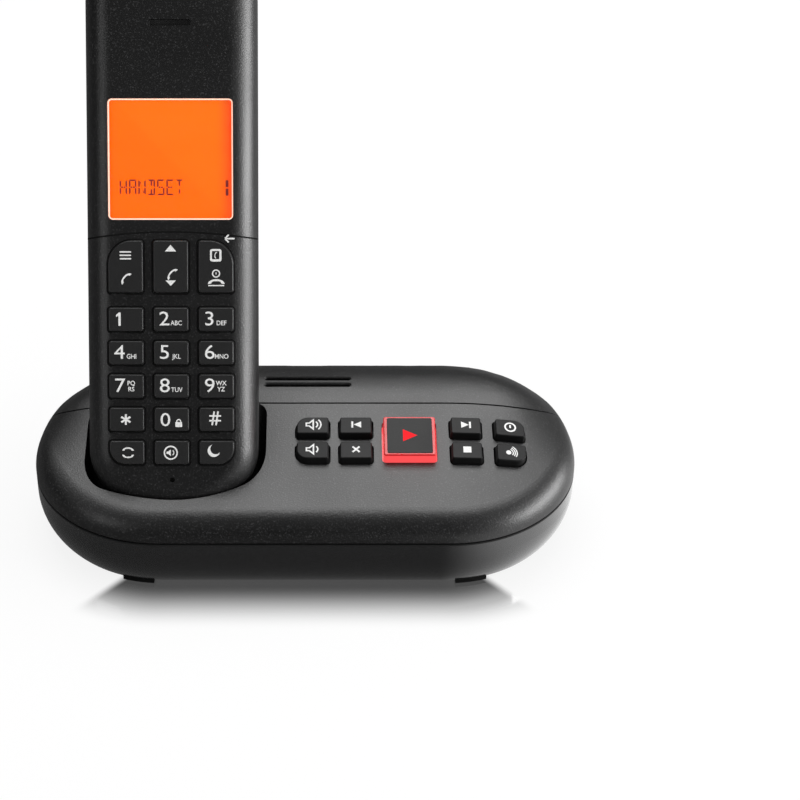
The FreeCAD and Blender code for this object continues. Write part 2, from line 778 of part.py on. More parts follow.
key_foot = d.shell_wall + d.key_under_gap + d.key_flange_thick     # underside of a key
dome_top = key_foot + d.key_travel + d.dome_gap
panel_holes = []
domes = []
for name, column, row, less, big in BASE_KEYS:
    frame = key_frame(column, row)
    half_width = (d.key_width - less) / 2
    half_height = d.key_depth / 2
    foot_width, foot_height = half_width + key_spread, half_height + key_spread
    corners = [d.key_big_corner if corner == big else d.key_corner for corner in CORNERS]
    push_key(name, frame, foot_width, foot_height, corners, d.key_rise, d.key_draft, d.key_edge,
             d.shell_wall, d.key_under_gap, d.key_flange, d.key_flange_thick)
    panel_holes.append(key_hole(name, frame, foot_width, foot_height, corners,
                                d.key_hole_gap, mm(5.0)))
    dome_height = d.mat_top + d.mat_thick / 2 - dome_top - crown_drop(column)
    dome = cylinder(name + "_dome", d.dome_radius, dome_height, (0, 0, 0),
                    frame.multiply(at(0, 0, -(dome_top + dome_height))))
    domes.append(dome)

# the play key: a clear red frame with a dark cap let into it
play_frame = key_frame(d.column_play, d.play_middle)
play_corner = mm(0.8)
play_foot = d.play_width / 2
play_half_depth = d.play_depth / 2
play_key = new_body("play_key")
play_outline = body_sketch(play_key, "play_cap_outline",
                           plain_outline(play_foot, play_half_depth, play_corner))
pad(play_key, "play_block", play_outline, d.play_rise, d.shell_wall + d.key_under_gap,
    d.play_draft)
round_edges(play_key, "play_edge", d.play_rise, d.key_edge)
play_skirt = body_sketch(play_key, "play_flange",
                         plain_outline(play_foot + d.key_flange, play_half_depth + d.key_flange,
                                       mm(1.2)), level=-key_foot)
pad(play_key, "play_flange_pad", play_skirt, d.key_flange_thick)
play_well = body_sketch(play_key, "play_well",
                        plain_outline(d.play_cap / 2 + 0.05, d.play_cap / 2 + 0.05,
                                      mm(0.55)), level=d.play_rise)
pocket(play_key, "play_recess", play_well, d.play_cap_thick)
sub_part("play_key", play_key, play_frame)

play_cap = new_body("play_key_cap")
cap_outline = body_sketch(play_cap, "cap_outline",
                          plain_outline(d.play_cap / 2, d.play_cap / 2, mm(0.5)),
                          level=d.play_rise - d.play_cap_thick)
pad(play_cap, "cap_plate", cap_outline, d.play_cap_thick + d.play_cap_proud)
sub_part("play_key_cap", play_cap, play_frame)

panel_holes.append(key_hole("play_key", play_frame, play_foot, play_half_depth,
                            [play_corner] * 4, d.key_hole_gap, mm(6.0)))
for side in (-1, 1):
    dome_height = d.mat_top + d.mat_thick / 2 - dome_top
    domes.append(cylinder("play_dome_%s" % ("left" if side < 0 else "right"), d.dome_radius,
                          dome_height, (4.2 * side, 0, -(dome_top + dome_height)), play_frame))

# ------------------------------------------------------------------ front and rear covers
rim_top = d.seam_height + d.lip_height + 2 * float(d.fit_clearance)
front_walls = common("front_walls", upper_walls, ahead_of_seam)
above_lip = half_space("above_lip", z=rim_top)
well_upper = common("well_upper", common("well_in_form", well_block, base_outer),
                    common("above_lip_front", above_lip, ahead_of_seam))
well_lower = common("well_lower", well_block, well_room)
board_bosses = []
board_screws = []
board_level = d.mat_top + d.mat_thick
board_bores = []
fixing_slope = d.key_board_half - d.board_fixing_inset
board_fixings = [(x, slope) for slope in (fixing_slope, -fixing_slope)
                 for x in (key_board_left + d.board_fixing_left,
                           key_board_right - d.board_fixing_right)]
under = board_level + d.key_board_thick
for number, (x, slope) in enumerate(board_fixings, 1):
    tag = "_%d" % number
    board_bosses.append(cylinder("board_boss" + tag, 1.9, board_level - 1.0,
                                 (x, slope, -board_level), panel))
    board_bores.append(cylinder("board_bore" + tag, d.board_screw_radius, 3.0,
                                (x, slope, -board_level), panel))
    board_screws.append(fuse(
        "board_screw" + tag,
        cylinder("board_screw_head" + tag, 1.8, 1.2, (x, slope, -(under + 1.2)), panel),
        cylinder("board_screw_shank" + tag, d.board_screw_radius, d.key_board_thick + 2.6,
                 (x, slope, -under), panel)))
sub_part("board_screws", group("board_screw_set", *board_screws), pieces=len(board_screws))

front_boss_room = common("front_bosses", fuse("front_boss_set", *upper_bosses["front"],
                                              *board_bosses), base_outer)
contact_slots = []
for side in (-1, 1):
    tag = "left" if side < 0 else "right"
    contact_slots.append(block("contact_slot_" + tag, 3.4, 6.0, 1.2,
                               (side * float(d.contact_x) - 1.7, -(well_floor + 4.0),
                                -(d.contact_depth + 0.6)), handset))
front_solid = fuse("front_solid", front_walls, well_upper, well_lower, front_boss_room)
sub_part("front_cover", cut("front_cover_body", front_solid, well, *panel_holes,
                            *upper_bores["front"], *board_bores, *contact_slots))

rear_walls = common("rear_walls", upper_walls, behind_seam)
gasket_top = d.speaker_top + d.gasket_thick
ring_wall = 1.2
speaker_ring = cut("speaker_ring",
                   cylinder("speaker_ring_outer", d.speaker_radius, 20.0,
                            (d.speaker_x, d.speaker_y, gasket_top)),
                   cylinder("speaker_ring_inner", d.speaker_radius - ring_wall, 20.0,
                            (d.speaker_x, d.speaker_y, gasket_top)))
ring_room = half_space("ring_room", y=d.rear_seam_y + 1.2)
ring_in_form = common("ring_in_form", common("ring_behind", speaker_ring, ring_room),
                      base_outer)
rear_bosses = common("rear_bosses", fuse("rear_boss_set", *upper_bosses["rear"]), base_outer)
slots = []
for number in range(2):
    slot_outline = plain_outline(d.slot_length / 2, d.slot_width / 2, d.slot_width / 2 - 0.01)
    slot_y = float(d.slot_front_y) + number * float(d.slot_pitch)
    slots.append(prism("sound_slot_%d" % (number + 1), slot_outline, mm(30.0),
                       frame=at(d.speaker_x, slot_y, gasket_top)))
    # its mouth opens out through the cover's skin
    mouth = prism("slot_mouth_%d" % (number + 1), slot_outline, d.slot_bevel * 3,
                  frame=at(d.speaker_x, slot_y, panel_height(slot_y, 0.0) - float(d.slot_bevel)))
    mouth.TaperAngle = 45.0
    slots.append(mouth)
rear_solid = fuse("rear_solid", rear_walls, ring_in_form, rear_bosses)
sub_part("rear_cover", cut("rear_cover_body", rear_solid, *slots, *upper_bores["rear"]))

# ------------------------------------------------------------------ key mat and key board
mat_half = d.key_board_half - 4.6
mat_left, mat_right = key_board_left + 1.5, key_board_right - 1.5
mat_sheet = block("mat_sheet", mat_right - mat_left, mat_half * 2, d.mat_thick,
                  (mat_left, -mat_half, -(d.mat_top + d.mat_thick)), panel)
lamp_hole = cylinder("lamp_hole", 1.9, 4.0, (d.column_play, d.play_middle, -board_level - 1.0),
                     panel)
sub_part("key_mat", cut("key_mat_body", fuse("mat_with_domes", mat_sheet, *domes), lamp_hole))

key_board = new_body("key_board")
board_outline = body_sketch(
    key_board, "key_board_outline",
    plain_outline((key_board_right - key_board_left) / 2, d.key_board_half,
                  mm(2.0)),
    x=(key_board_right + key_board_left) / 2, level=-(board_level + d.key_board_thick))
pad(key_board, "key_board_plate", board_outline, d.key_board_thick)


def round_hole(radius):
    def draw(sketch):
        sketch.addGeometry(Part.Circle(Vector(0, 0, 0), Vector(0, 0, 1), float(radius)))
        sketch.addConstraint(Sketcher.Constraint("Coincident", 0, 3, *ORIGIN_POINT))
        dimension(sketch, "Radius", radius, 0)
    return draw


for number, (x, slope) in enumerate(board_fixings, 1):
    hole = body_sketch(key_board, "fixing_hole_%d" % number,
                       round_hole(d.board_screw_radius + 0.1),
                       x=x, y=slope, level=-board_level)
    pocket(key_board, "fixing_%d" % number, hole, d.key_board_thick)
sub_part("key_board", key_board, panel)

lamp_size = mm(2.4)
lamp = new_body("play_key_lamp")
lamp_outline = body_sketch(lamp, "lamp_outline",
                           plain_outline(lamp_size / 2, lamp_size / 2, mm(0.3)),
                           x=d.column_play, y=d.play_middle, level=-board_level)
pad(lamp, "lamp_block", lamp_outline, mm(1.6))
sub_part("play_key_lamp", lamp, panel)

# ------------------------------------------------------------------ main board and sockets
board_length = d.main_board_right - d.main_board_left
board_width = d.main_board_back - d.main_board_front
main_board = new_body("main_board")
main_outline = body_sketch(
    main_board, "main_board_outline",
    rounded_outline(board_length / 2, board_width / 2, mm(3.0), mm(10.0),
                    mm(10.0), mm(3.0)),
    x=(d.main_board_right + d.main_board_left) / 2,
    y=(d.main_board_back + d.main_board_front) / 2, level=d.main_board_bottom)
pad(main_board, "main_board_plate", main_outline, d.board_thick)
chip_outline = body_sketch(main_board, "chip_outline",
                           plain_outline(mm(6.0), mm(6.0), mm(0.3)),
                           x=mm(80.0), y=mm(2.0), level=board_top)
pad(main_board, "chip", chip_outline, mm(1.4))
sub_part("main_board", main_board)

shield = new_body("radio_shield")
shield_outline = body_sketch(shield, "shield_outline",
                             plain_outline(mm(9.0), mm(7.0), mm(1.0)),
                             x=mm(58.0), y=Size(-6.0, "(0 - 6)"), level=board_top)
pad(shield, "shield_can", shield_outline, mm(3.0))
round_edges(shield, "shield_edge", board_top + 3.0, mm(0.4))
sub_part("radio_shield", shield)

# ------------------------------------------------------------------ sockets in the back
socket_depth = mm(15.0)


def back_sketch(body, name, outline, x, z):
    """A sketch on the sockets' face, which looks out of the back."""
    return body_sketch(body, name, outline, x=x, y=z, level=-d.socket_face_y, plane="XZ_Plane")


line_height = mm(11.5)
line_middle = board_top + line_height / 2
line_socket = new_body("line_socket")
pad(line_socket, "line_block",
    back_sketch(line_socket, "line_shell",
                plain_outline(socket_width["line"] / 2, line_height / 2, mm(0.4)),
                d.line_socket_x, line_middle), socket_depth)
pocket(line_socket, "line_mouth",
       back_sketch(line_socket, "line_opening",
                   plain_outline(mm(4.9), mm(3.4), mm(0.3)),
                   d.line_socket_x, line_middle), mm(12.0), along=True)
pocket(line_socket, "line_latch",
       back_sketch(line_socket, "line_latch_outline",
                   plain_outline(mm(1.6), mm(1.3), mm(0.3)),
                   d.line_socket_x, line_middle - 3.6), mm(8.0), along=True)
sub_part("line_socket", line_socket)

power_height = mm(11.0)
power_middle = board_top + power_height / 2
power_socket = new_body("power_socket")
pad(power_socket, "power_block",
    back_sketch(power_socket, "power_shell",
                plain_outline(socket_width["power"] / 2, power_height / 2, mm(0.4)),
                d.power_socket_x, power_middle), socket_depth - 1.0)
pocket(power_socket, "power_mouth",
       back_sketch(power_socket, "power_opening", round_hole(mm(3.1)),
                   d.power_socket_x, power_middle), mm(10.0), along=True)
pad(power_socket, "power_pin",
    body_sketch(power_socket, "power_pin_outline", round_hole(mm(1.0)),
                x=d.power_socket_x, y=power_middle, level=-(d.socket_face_y - 11.0),
                plane="XZ_Plane"), mm(0.5), mm(10.0))
sub_part("power_socket", power_socket)

# flat cable from the key board's underside down to the main board
cable_front, cable_thick, cable_width = -17.0, 0.4, 14.0


def under_key_board(y):
    """Height of the key board's underside at y."""
    tilt = math.radians(float(d.panel_tilt))
    depth = float(board_level + d.key_board_thick)
    return float(d.panel_z) + math.tan(tilt) * (y - float(d.panel_y)) - depth / math.cos(tilt)


cable_profile = Part.makePolygon([
    Vector(62.0, y, z) for y, z in (
        (cable_front, float(board_top)), (cable_front + cable_thick, float(board_top)),
        (cable_front + cable_thick, under_key_board(cable_front + cable_thick)),
        (cable_front, under_key_board(cable_front)), (cable_front, float(board_top)))])
ribbon = doc.addObject("Part::Feature", "ribbon")
ribbon.Shape = Part.Face(cable_profile).extrude(Vector(cable_width, 0, 0))
sub_part("ribbon_cable", ribbon)

# ------------------------------------------------------------------ loudspeaker


def turned_profile(body, name, points, x, y):
    """A closed profile of (radius, height) points turned round an upright axis at x, y."""
    def draw(sketch):
        corners = [Vector(float(radius), float(height), 0) for radius, height in points]
        count = len(corners)
        for index in range(count):
            sketch.addGeometry(Part.LineSegment(corners[index], corners[(index + 1) % count]))
        for index in range(count):
            sketch.addConstraint(Sketcher.Constraint("Coincident", index, 2,
                                                     (index + 1) % count, 1))
        for index, (radius, height) in enumerate(points):
            if float(radius) == 0:
                sketch.addConstraint(Sketcher.Constraint("PointOnObject", index, 1, -2))
            else:
                dimension(sketch, "DistanceX", radius, *ORIGIN_POINT, index, 1)
            if float(height) == 0:
                sketch.addConstraint(Sketcher.Constraint("PointOnObject", index, 1, -1))
            elif float(height) > 0:
                dimension(sketch, "DistanceY", height, *ORIGIN_POINT, index, 1)
            else:
                dimension(sketch, "DistanceY", -height, index, 1, *ORIGIN_POINT)
    sketch = body_sketch(body, name + "_profile", draw, plane="XZ_Plane")
    turn = body.newObject("PartDesign::Revolution", name)
    turn.Profile = sketch
    turn.ReferenceAxis = (sketch, ["V_Axis"])
    turn.Angle = 360.0
    return turn


loudspeaker = new_body("loudspeaker")
rim = d.speaker_radius
turned_profile(loudspeaker, "speaker_form", [
    (NONE, mm(-2.6)), (mm(3.2), mm(-2.2)), (rim - 4.0, mm(-0.6)), (rim - 2.6, mm(-0.3)),
    (rim - 2.4, NONE), (rim, NONE), (rim, mm(-1.0)), (rim - 1.2, mm(-1.4)),
    (mm(8.4), mm(-4.4)), (mm(8.4), mm(-8.4)), (NONE, mm(-8.4))], 0, 0)
sub_part("loudspeaker", loudspeaker, at(d.speaker_x, d.speaker_y, d.speaker_top))
gasket = cut("gasket", cylinder("gasket_outer", rim, d.gasket_thick,
                                (d.speaker_x, d.speaker_y, d.speaker_top)),
             cylinder("gasket_inner", rim - 2.4, d.gasket_thick,
                      (d.speaker_x, d.speaker_y, d.speaker_top)))
sub_part("speaker_gasket", gasket)

# ------------------------------------------------------------------ charging contacts
contacts = []
contact_reach = 0.25      # the blades' tips above the lowest point of the handset's end
for side in (-1, 1):
    tag = "left" if side < 0 else "right"
    x = side * float(d.contact_x) - 1.5
    floor_under = -(well_floor + d.cradle_wall)
    blade = block("contact_blade_" + tag, 3.0, -(d.handset_below - contact_reach + floor_under), 0.6,
                  (x, floor_under, -(d.contact_depth + 0.3)), handset)
    sole = block("contact_sole_" + tag, 3.0, 0.5, 5.0,
                 (x, floor_under - 0.5, -(d.contact_depth + 3.0)), handset)
    contacts.append(fuse("contact_" + tag, blade, sole))
sub_part("charging_contacts", group("contact_pair", *contacts), pieces=len(contacts))

# ------------------------------------------------------------------ the handset's form
def handset_outline(inset):
    """Straight sides, an arched foot and a flatter arched top, joined by round corners."""
    def draw(sketch):
        half = d.handset_width / 2 - inset
        foot_radius, top_radius = d.handset_end_radius - inset, d.handset_top_radius - inset
        corner, top_corner = d.handset_corner - inset, d.handset_top_corner - inset
        w, R, T = float(half), float(foot_radius), float(top_radius)
        c, k = float(corner), float(top_corner)
        foot_y = float(d.handset_end_radius - d.handset_below)
        top_y = float(d.handset_above - d.handset_top_radius)
        low = foot_y - math.sqrt((R - c) ** 2 - (w - c) ** 2)
        high = top_y + math.sqrt((T - k) ** 2 - (w - k) ** 2)
        dip = math.degrees(math.atan2(foot_y - low, w - c))
        rise = math.degrees(math.atan2(high - top_y, w - k))
        loop_of(sketch, [
            arc(0, foot_y, R, 180 + dip, 360 - dip), arc(w - c, low, c, -dip, 0),
            line(w, low, w, high), arc(w - k, high, k, 0, rise),
            arc(0, top_y, T, rise, 180 - rise), arc(-w + k, high, k, 180 - rise, 180),
            line(-w, high, -w, low), arc(-w + c, low, c, 180, 180 + dip)])
        for end in (0, 4):
            sketch.addConstraint(Sketcher.Constraint("PointOnObject", end, 3, -2))
        for side in (2, 6):
            sketch.addConstraint(Sketcher.Constraint("Vertical", side))
        for index, radius in ((0, foot_radius), (1, corner), (7, corner), (4, top_radius),
                              (3, top_corner), (5, top_corner)):
            dimension(sketch, "Radius", radius, index)
        dimension(sketch, "DistanceY", d.handset_end_radius - d.handset_below,
                  *ORIGIN_POINT, 0, 3)
        dimension(sketch, "DistanceY", d.handset_above - d.handset_top_radius,
                  *ORIGIN_POINT, 4, 3)
        dimension(sketch, "DistanceX", half, *ORIGIN_POINT, 2, 1)
        dimension(sketch, "DistanceX", half, 6, 1, *ORIGIN_POINT)
    return draw


def handset_form(name, inset):
    """The handset as a solid, smaller all round by the inset; its face lies at Z = 0."""
    body = new_body(name)
    outline = body_sketch(body, name + "_outline", handset_outline(inset),
                          level=-(d.handset_depth - inset))
    pad(body, name + "_block", outline, d.handset_depth - inset * 2)
    round_edges(body, name + "_front", -inset, d.handset_front_round - inset)
    round_edges(body, name + "_back", -(d.handset_depth - inset), d.handset_back_round - inset)
    return body


handset_outer = handset_form("handset_outer", NONE)
handset_inner = handset_form("handset_inner", d.handset_wall)
cover_inner = handset_form("cover_inner", d.cover_thick)
handset_walls = cut("handset_walls", handset_outer, handset_inner)

side_gap = d.fit_clearance / 2
front_half = half_space("front_half", z=-(d.handset_seam_depth - side_gap))
back_half = half_space("back_half", z=-float(d.handset_seam_depth + side_gap) - FAR)
phone_spread = float(d.phone_key_rise) * math.tan(math.radians(float(d.phone_key_draft)))
phone_room = d.phone_flange * 2 + phone_spread * 2      # two flanges between neighbours
phone_column = d.phone_key_width + phone_room + d.phone_column_gap
phone_row_pitch = d.phone_key_height + phone_room + d.phone_row_gap
tall_key_bottom = (d.phone_row_bottom + phone_row_pitch * 4 + d.phone_key_height / 2
                   + d.tall_key_gap)
tall_key_top = tall_key_bottom + d.tall_key_height
window_bottom = tall_key_top + d.window_gap
seam_centre = tall_key_top + d.bezel_seam_gap - d.bezel_seam_radius
key_front_round = cylinder("key_front_round", d.bezel_seam_radius - side_gap, 60.0,
                           (0, seam_centre, -30.0))
bezel_round = cylinder("bezel_round", d.bezel_seam_radius + side_gap, 60.0,
                       (0, seam_centre, -30.0))
front_shell_walls = common("front_shell_walls", handset_walls, front_half)

# ------------------------------------------------------------------ keys of the handset
PHONE_ROWS = [("night_key", "speaker_key", "intercom_key"), ("hash_key", "key_0", "star_key"),
              ("key_9", "key_8", "key_7"), ("key_6", "key_5", "key_4"), ("key_3", "key_2", "key_1")]
LARGE_CORNER = {"night_key": "front_right", "intercom_key": "front_left",
                "right_key": "back_right", "left_key": "back_left"}
phone_holes = []
phone_domes = []
phone_foot = d.handset_wall + d.phone_under_gap + d.phone_flange_thick
phone_dome_top = phone_foot + d.phone_travel + d.dome_gap


def phone_key(name, x, y, height, flange_half_height=None, dome_ys=(0.0,)):
    frame = at(x, y, 0)
    half_width = d.phone_key_width / 2 + phone_spread
    half_height = height / 2 + phone_spread
    big = LARGE_CORNER.get(name)
    large = d.phone_key_big_corner if height is digit_height else d.phone_key_big_corner * 1.5
    corners = [large if corner == big else d.phone_key_corner for corner in CORNERS]
    push_key(name, handset.multiply(frame), half_width, half_height, corners, d.phone_key_rise,
             d.phone_key_draft, d.phone_key_edge, d.handset_wall, d.phone_under_gap,
             d.phone_flange, d.phone_flange_thick, flange_half_height)
    phone_holes.append(key_hole(name, frame, half_width, half_height, corners, d.phone_hole_gap,
                                mm(4.0)))
    for index, offset in enumerate(dome_ys):
        dome_height = d.phone_mat_top + d.phone_mat_thick / 2 - phone_dome_top
        phone_domes.append(cylinder("%s_dome_%d" % (name, index), 2.0, dome_height,
                                    (x, float(y) + offset, -(phone_dome_top + dome_height))))


digit_height = d.phone_key_height
for row, names in enumerate(PHONE_ROWS):
    row_y = float(d.phone_row_bottom) + row * float(phone_row_pitch)
    for side, name in zip((1, 0, -1), names):
        phone_key(name, side * float(phone_column), row_y, digit_height)
tall_middle = float(tall_key_bottom) + float(d.tall_key_height) / 2
for side, name in zip((1, -1), ("right_key", "left_key")):
    phone_key(name, side * float(phone_column), tall_middle, d.tall_key_height,
              dome_ys=(-3.6, 3.6))
phone_key("rocker_key", 0.0, tall_middle, d.tall_key_height, flange_half_height=mm(4.6),
          dome_ys=(-4.6, 4.6))

# ------------------------------------------------------------------ handset front and display
window_middle = window_bottom + d.window_height / 2
window_opening = prism("window_opening", plain_outline(d.window_width / 2 + 0.1,
                                                       d.window_height / 2 + 0.1,
                                                       d.window_corner + 0.1),
                       mm(5.0), mm(5.0), at(0, window_middle, 0))
earpiece_slot = prism("earpiece_slot", plain_outline(mm(6.0), mm(0.9), mm(0.88)),
                      mm(5.0), mm(5.0), at(0, d.earpiece_y, 0))
window = new_body("display_window")
pad(window, "window_plate",
    body_sketch(window, "window_outline",
                plain_outline(d.window_width / 2, d.window_height / 2, d.window_corner),
                y=window_middle, level=-(d.window_sunk + d.window_thick)), d.window_thick)
sub_part("display_window", window, handset)

display_top = d.window_sunk + d.window_thick
display_seat = prism("display_seat", plain_outline(
    d.window_width / 2 + d.display_border + 0.1, d.window_height / 2 + d.display_border + 0.1,
    mm(0.9)), NONE, mm(6.0), at(0, window_middle, -display_top))
display = new_body("display_module")
pad(display, "display_block",
    body_sketch(display, "display_outline",
                plain_outline(d.window_width / 2 + d.display_border,
                              d.window_height / 2 + d.display_border, mm(0.8)),
                y=window_middle, level=-(display_top + d.display_thick)), d.display_thick)
sub_part("display_module", display, handset)

# ------------------------------------------------------------------ inside the handset
phone_board_level = d.phone_mat_top + d.phone_mat_thick
board_clearance = 1.3
phone_board = new_body("handset_board")
phone_board_bottom, phone_board_top = mm(8.0), mm(142.0)
phone_board_half = d.handset_width / 2 - d.handset_wall - board_clearance
pad(phone_board, "phone_board_plate",
    body_sketch(phone_board, "phone_board_outline",
                plain_outline(phone_board_half, (phone_board_top - phone_board_bottom) / 2,
                              mm(9.0)),
                y=(phone_board_top + phone_board_bottom) / 2,
                level=-(phone_board_level + d.phone_board_thick)), d.phone_board_thick)
sub_part("handset_board", phone_board, handset)

phone_mat_bottom, phone_mat_end = 9.0, float(tall_key_top) + 1.5
phone_sheet = block("phone_mat_sheet", (phone_column + d.phone_key_width / 2) * 2,
                    phone_mat_end - phone_mat_bottom, d.phone_mat_thick,
                    (-(phone_column + d.phone_key_width / 2), phone_mat_bottom,
                     -phone_board_level))
sub_part("handset_key_mat", fuse("phone_mat_body", phone_sheet, *phone_domes), handset)

earpiece = new_body("earpiece")
turned_profile(earpiece, "earpiece_form", [
    (NONE, mm(-0.8)), (mm(5.6), mm(-0.4)), (mm(6.0), NONE), (mm(7.5), NONE), (mm(7.5), mm(-2.2)),
    (mm(5.5), mm(-3.4)), (NONE, mm(-3.4))], 0, 0)
sub_part("earpiece", earpiece, handset.multiply(at(0, d.earpiece_y, -d.handset_wall)))
sub_part("microphone", cylinder("microphone_can", 2.6, 1.6,
                                (0, 0, 0)),
         handset.multiply(at(0, d.microphone_y, -(d.handset_wall + 1.6))))
ringer = new_body("ringer")
turned_profile(ringer, "ringer_form", [
    (NONE, mm(5.0)), (mm(6.0), mm(5.0)), (mm(6.0), mm(2.2)), (mm(10.0), mm(1.4)),
    (mm(10.0), NONE), (mm(8.6), NONE), (mm(8.2), mm(0.5)), (NONE, mm(1.2))], 0, 0)
sub_part("ringer", ringer, handset.multiply(at(0, 118.0, -(d.handset_depth - d.handset_wall))))

# ------------------------------------------------------------------ battery bay and back shell
cell_depth = d.handset_depth - d.cover_thick - 0.4 - d.cell_radius
cell_start = d.bay_bottom + (d.bay_length - d.cell_length) / 2
cells = []
for side in (-1, 1):
    tag = "left" if side < 0 else "right"
    x = side * float(d.cell_pitch) / 2
    upward = Placement(Vector(x, cell_start, -cell_depth), turned(Vector(1, 0, 0), -90))
    can = cylinder("cell_can_" + tag, d.cell_radius, d.cell_length - 1.0, (0, 0, 0), upward)
    tip = cylinder("cell_tip_" + tag, 1.9, 1.0, (0, 0, d.cell_length - 1.0), upward)
    cells.append(fuse("cell_" + tag, can, tip))
sub_part("battery_cells", group("cell_pair", *cells), handset, pieces=len(cells))

bay_half = d.cell_pitch / 2 + d.cell_radius + 0.4
bay_floor = cell_depth - d.cell_radius - 0.4
bay_room = block("bay_room", bay_half * 2, d.bay_length, 30.0,
                 (-bay_half, d.bay_bottom, -(bay_floor + 30.0)))
bay_box = block("bay_box", (bay_half + d.bay_wall) * 2, d.bay_length + d.bay_wall * 2, 30.0,
                (-(bay_half + d.bay_wall), d.bay_bottom - d.bay_wall,
                 -(bay_floor - d.bay_wall + 30.0)))
cover_frame = at(0, d.cover_bottom + d.cover_length / 2, -d.handset_depth)
cover_hole = prism("cover_hole", plain_outline(d.cover_half_width + d.cover_gap,
                                               d.cover_length / 2 + d.cover_gap, mm(4.25)),
                   mm(6.0), mm(6.0), cover_frame)
cover_blank = prism("cover_blank", plain_outline(d.cover_half_width, d.cover_length / 2, mm(4.0)),
                    mm(6.0), mm(6.0), cover_frame)
cover_bed = cut("cover_bed", handset_outer, cover_inner)
sub_part("battery_cover", common("battery_cover_body", cover_bed, cover_blank), handset)

# a recessed bed under the cover carries it and the bay
bed_room = common("bed_room", cover_hole, cover_bed)
bed_step = cut("bed_step", common("bed_outer", cover_inner, prism(
    "bed_blank", plain_outline(d.cover_half_width + 1.5, d.cover_length / 2 + 1.5, mm(5.5)),
    mm(6.0), mm(6.0), cover_frame)), handset_form("bed_inner", d.cover_thick + d.bay_wall))
bay_shell = common("bay_shell", bay_box, cover_inner)

# a screw in each corner: up through a post of the back shell into a post of the front
phone_screws = []
back_posts = []
front_posts = {"foot": [], "top": []}
back_bores = []
front_bores = []
post_meet = mm(12.0)
screw_seat = d.handset_depth - 5.5
for number, (x, y, end) in enumerate(((-13.0, 146.0, "top"), (13.0, 146.0, "top"),
                                      (-13.0, 4.5, "foot"), (13.0, 4.5, "foot")), 1):
    tag = "_%d" % number
    front_posts[end].append(cylinder("front_post" + tag, 2.6, post_meet - 1.0,
                                     (x, y, -post_meet)))
    front_bores.append(cylinder("front_bore" + tag, 1.0, 4.5, (x, y, -(post_meet + 0.5))))
    back_posts.append(cylinder("back_post" + tag, 3.4, d.handset_depth - post_meet - 0.2,
                               (x, y, -d.handset_depth)))
    back_bores.append(cylinder("head_room" + tag, 2.2, 10.0, (x, y, -(screw_seat + 10.0))))
    back_bores.append(cylinder("shank_room" + tag, 1.2, 15.0, (x, y, -(screw_seat + 1.0))))
    phone_screws.append(fuse(
        "phone_screw" + tag,
        cylinder("phone_screw_head" + tag, 1.9, 1.4, (x, y, -(screw_seat + 1.4))),
        cylinder("phone_screw_shank" + tag, 1.0, screw_seat - 8.4, (x, y, -screw_seat))))
sub_part("handset_screws", group("phone_screw_set", *phone_screws), handset,
         pieces=len(phone_screws))

pad_blocks = []
for side in (-1, 1):
    tag = "left" if side < 0 else "right"
    pad_blocks.append(block("pad_block_" + tag, 4.0, 4.0, 4.0,
                            (side * float(d.contact_x) - 2.0, -(d.handset_below + 1.2),
                             -(d.contact_depth + 2.0))))
sub_part("charging_pads", common("charging_pad_pair", handset_outer,
                                 group("pad_blocks", *pad_blocks)), handset, pieces=2)

ringer_slots = []
for index in range(4):
    ringer_slots.append(prism("ringer_slot_%d" % (index + 1), plain_outline(mm(5.0), mm(0.6),
                                                                           mm(0.58)),
                              mm(3.0), mm(3.0), at(0, 114.4 + 2.4 * index, -d.handset_depth)))
back_walls = cut("back_walls_open", common("back_walls", handset_walls, back_half), cover_hole)
post_room = common("back_post_room", fuse("back_post_set", *back_posts), handset_outer)
back_solid = fuse("back_solid", back_walls, bed_step, bay_shell, post_room)
sub_part("handset_back", cut("handset_back_body", back_solid, bay_room, *back_bores,
                             *pad_blocks, *ringer_slots), handset)

# ------------------------------------------------------------------ handset front and bezel
microphone_hole = cylinder("microphone_hole", 0.7, 20.0, (0, d.microphone_y, -10.0))
sub_part("handset_front", cut(
    "handset_front_body", fuse(
        "handset_front_solid", common("handset_front_walls", front_shell_walls, key_front_round),
        common("foot_posts", fuse("foot_post_set", *front_posts["foot"]), handset_outer)),
    *phone_holes, microphone_hole, *front_bores), handset)

display_bezel = cut("display_bezel_body", fuse(
    "bezel_solid", cut("bezel_walls", front_shell_walls, bezel_round),
    common("top_posts", fuse("top_post_set", *front_posts["top"]), handset_outer)),
    window_opening, display_seat, earpiece_slot, *front_bores)
sub_part("display_bezel", display_bezel, handset)

# plates and buttons that press on the cells' ends
battery_contacts = []
for side in (-1, 1):
    tag = "left" if side < 0 else "right"
    x = side * float(d.cell_pitch) / 2
    top_end = d.bay_bottom + d.bay_length
    for end, wall_y, cell_y in (("top", top_end, cell_start + d.cell_length),
                                ("foot", d.bay_bottom, cell_start)):
        towards = 90 if end == "top" else -90
        gap_length = abs(float(wall_y) - float(cell_y))
        stand = Placement(Vector(x, wall_y, -cell_depth), turned(Vector(1, 0, 0), towards))
        plate = block("contact_plate_%s_%s" % (end, tag), 7.0, 7.0, 0.5, (-3.5, -3.5, 0), stand)
        button = cylinder("contact_button_%s_%s" % (end, tag), 1.8, gap_length, (0, 0, 0), stand)
        battery_contacts.append(fuse("battery_contact_%s_%s" % (end, tag), plate, button))
sub_part("battery_contacts", group("battery_contact_set", *battery_contacts), handset,
         pieces=len(battery_contacts))

# ------------------------------------------------------------------ check, place and write
doc.recompute()
for thing in doc.Objects:
    if any(word in thing.State for word in ("Invalid", "Error")):
        raise RuntimeError("%s failed" % thing.Name)

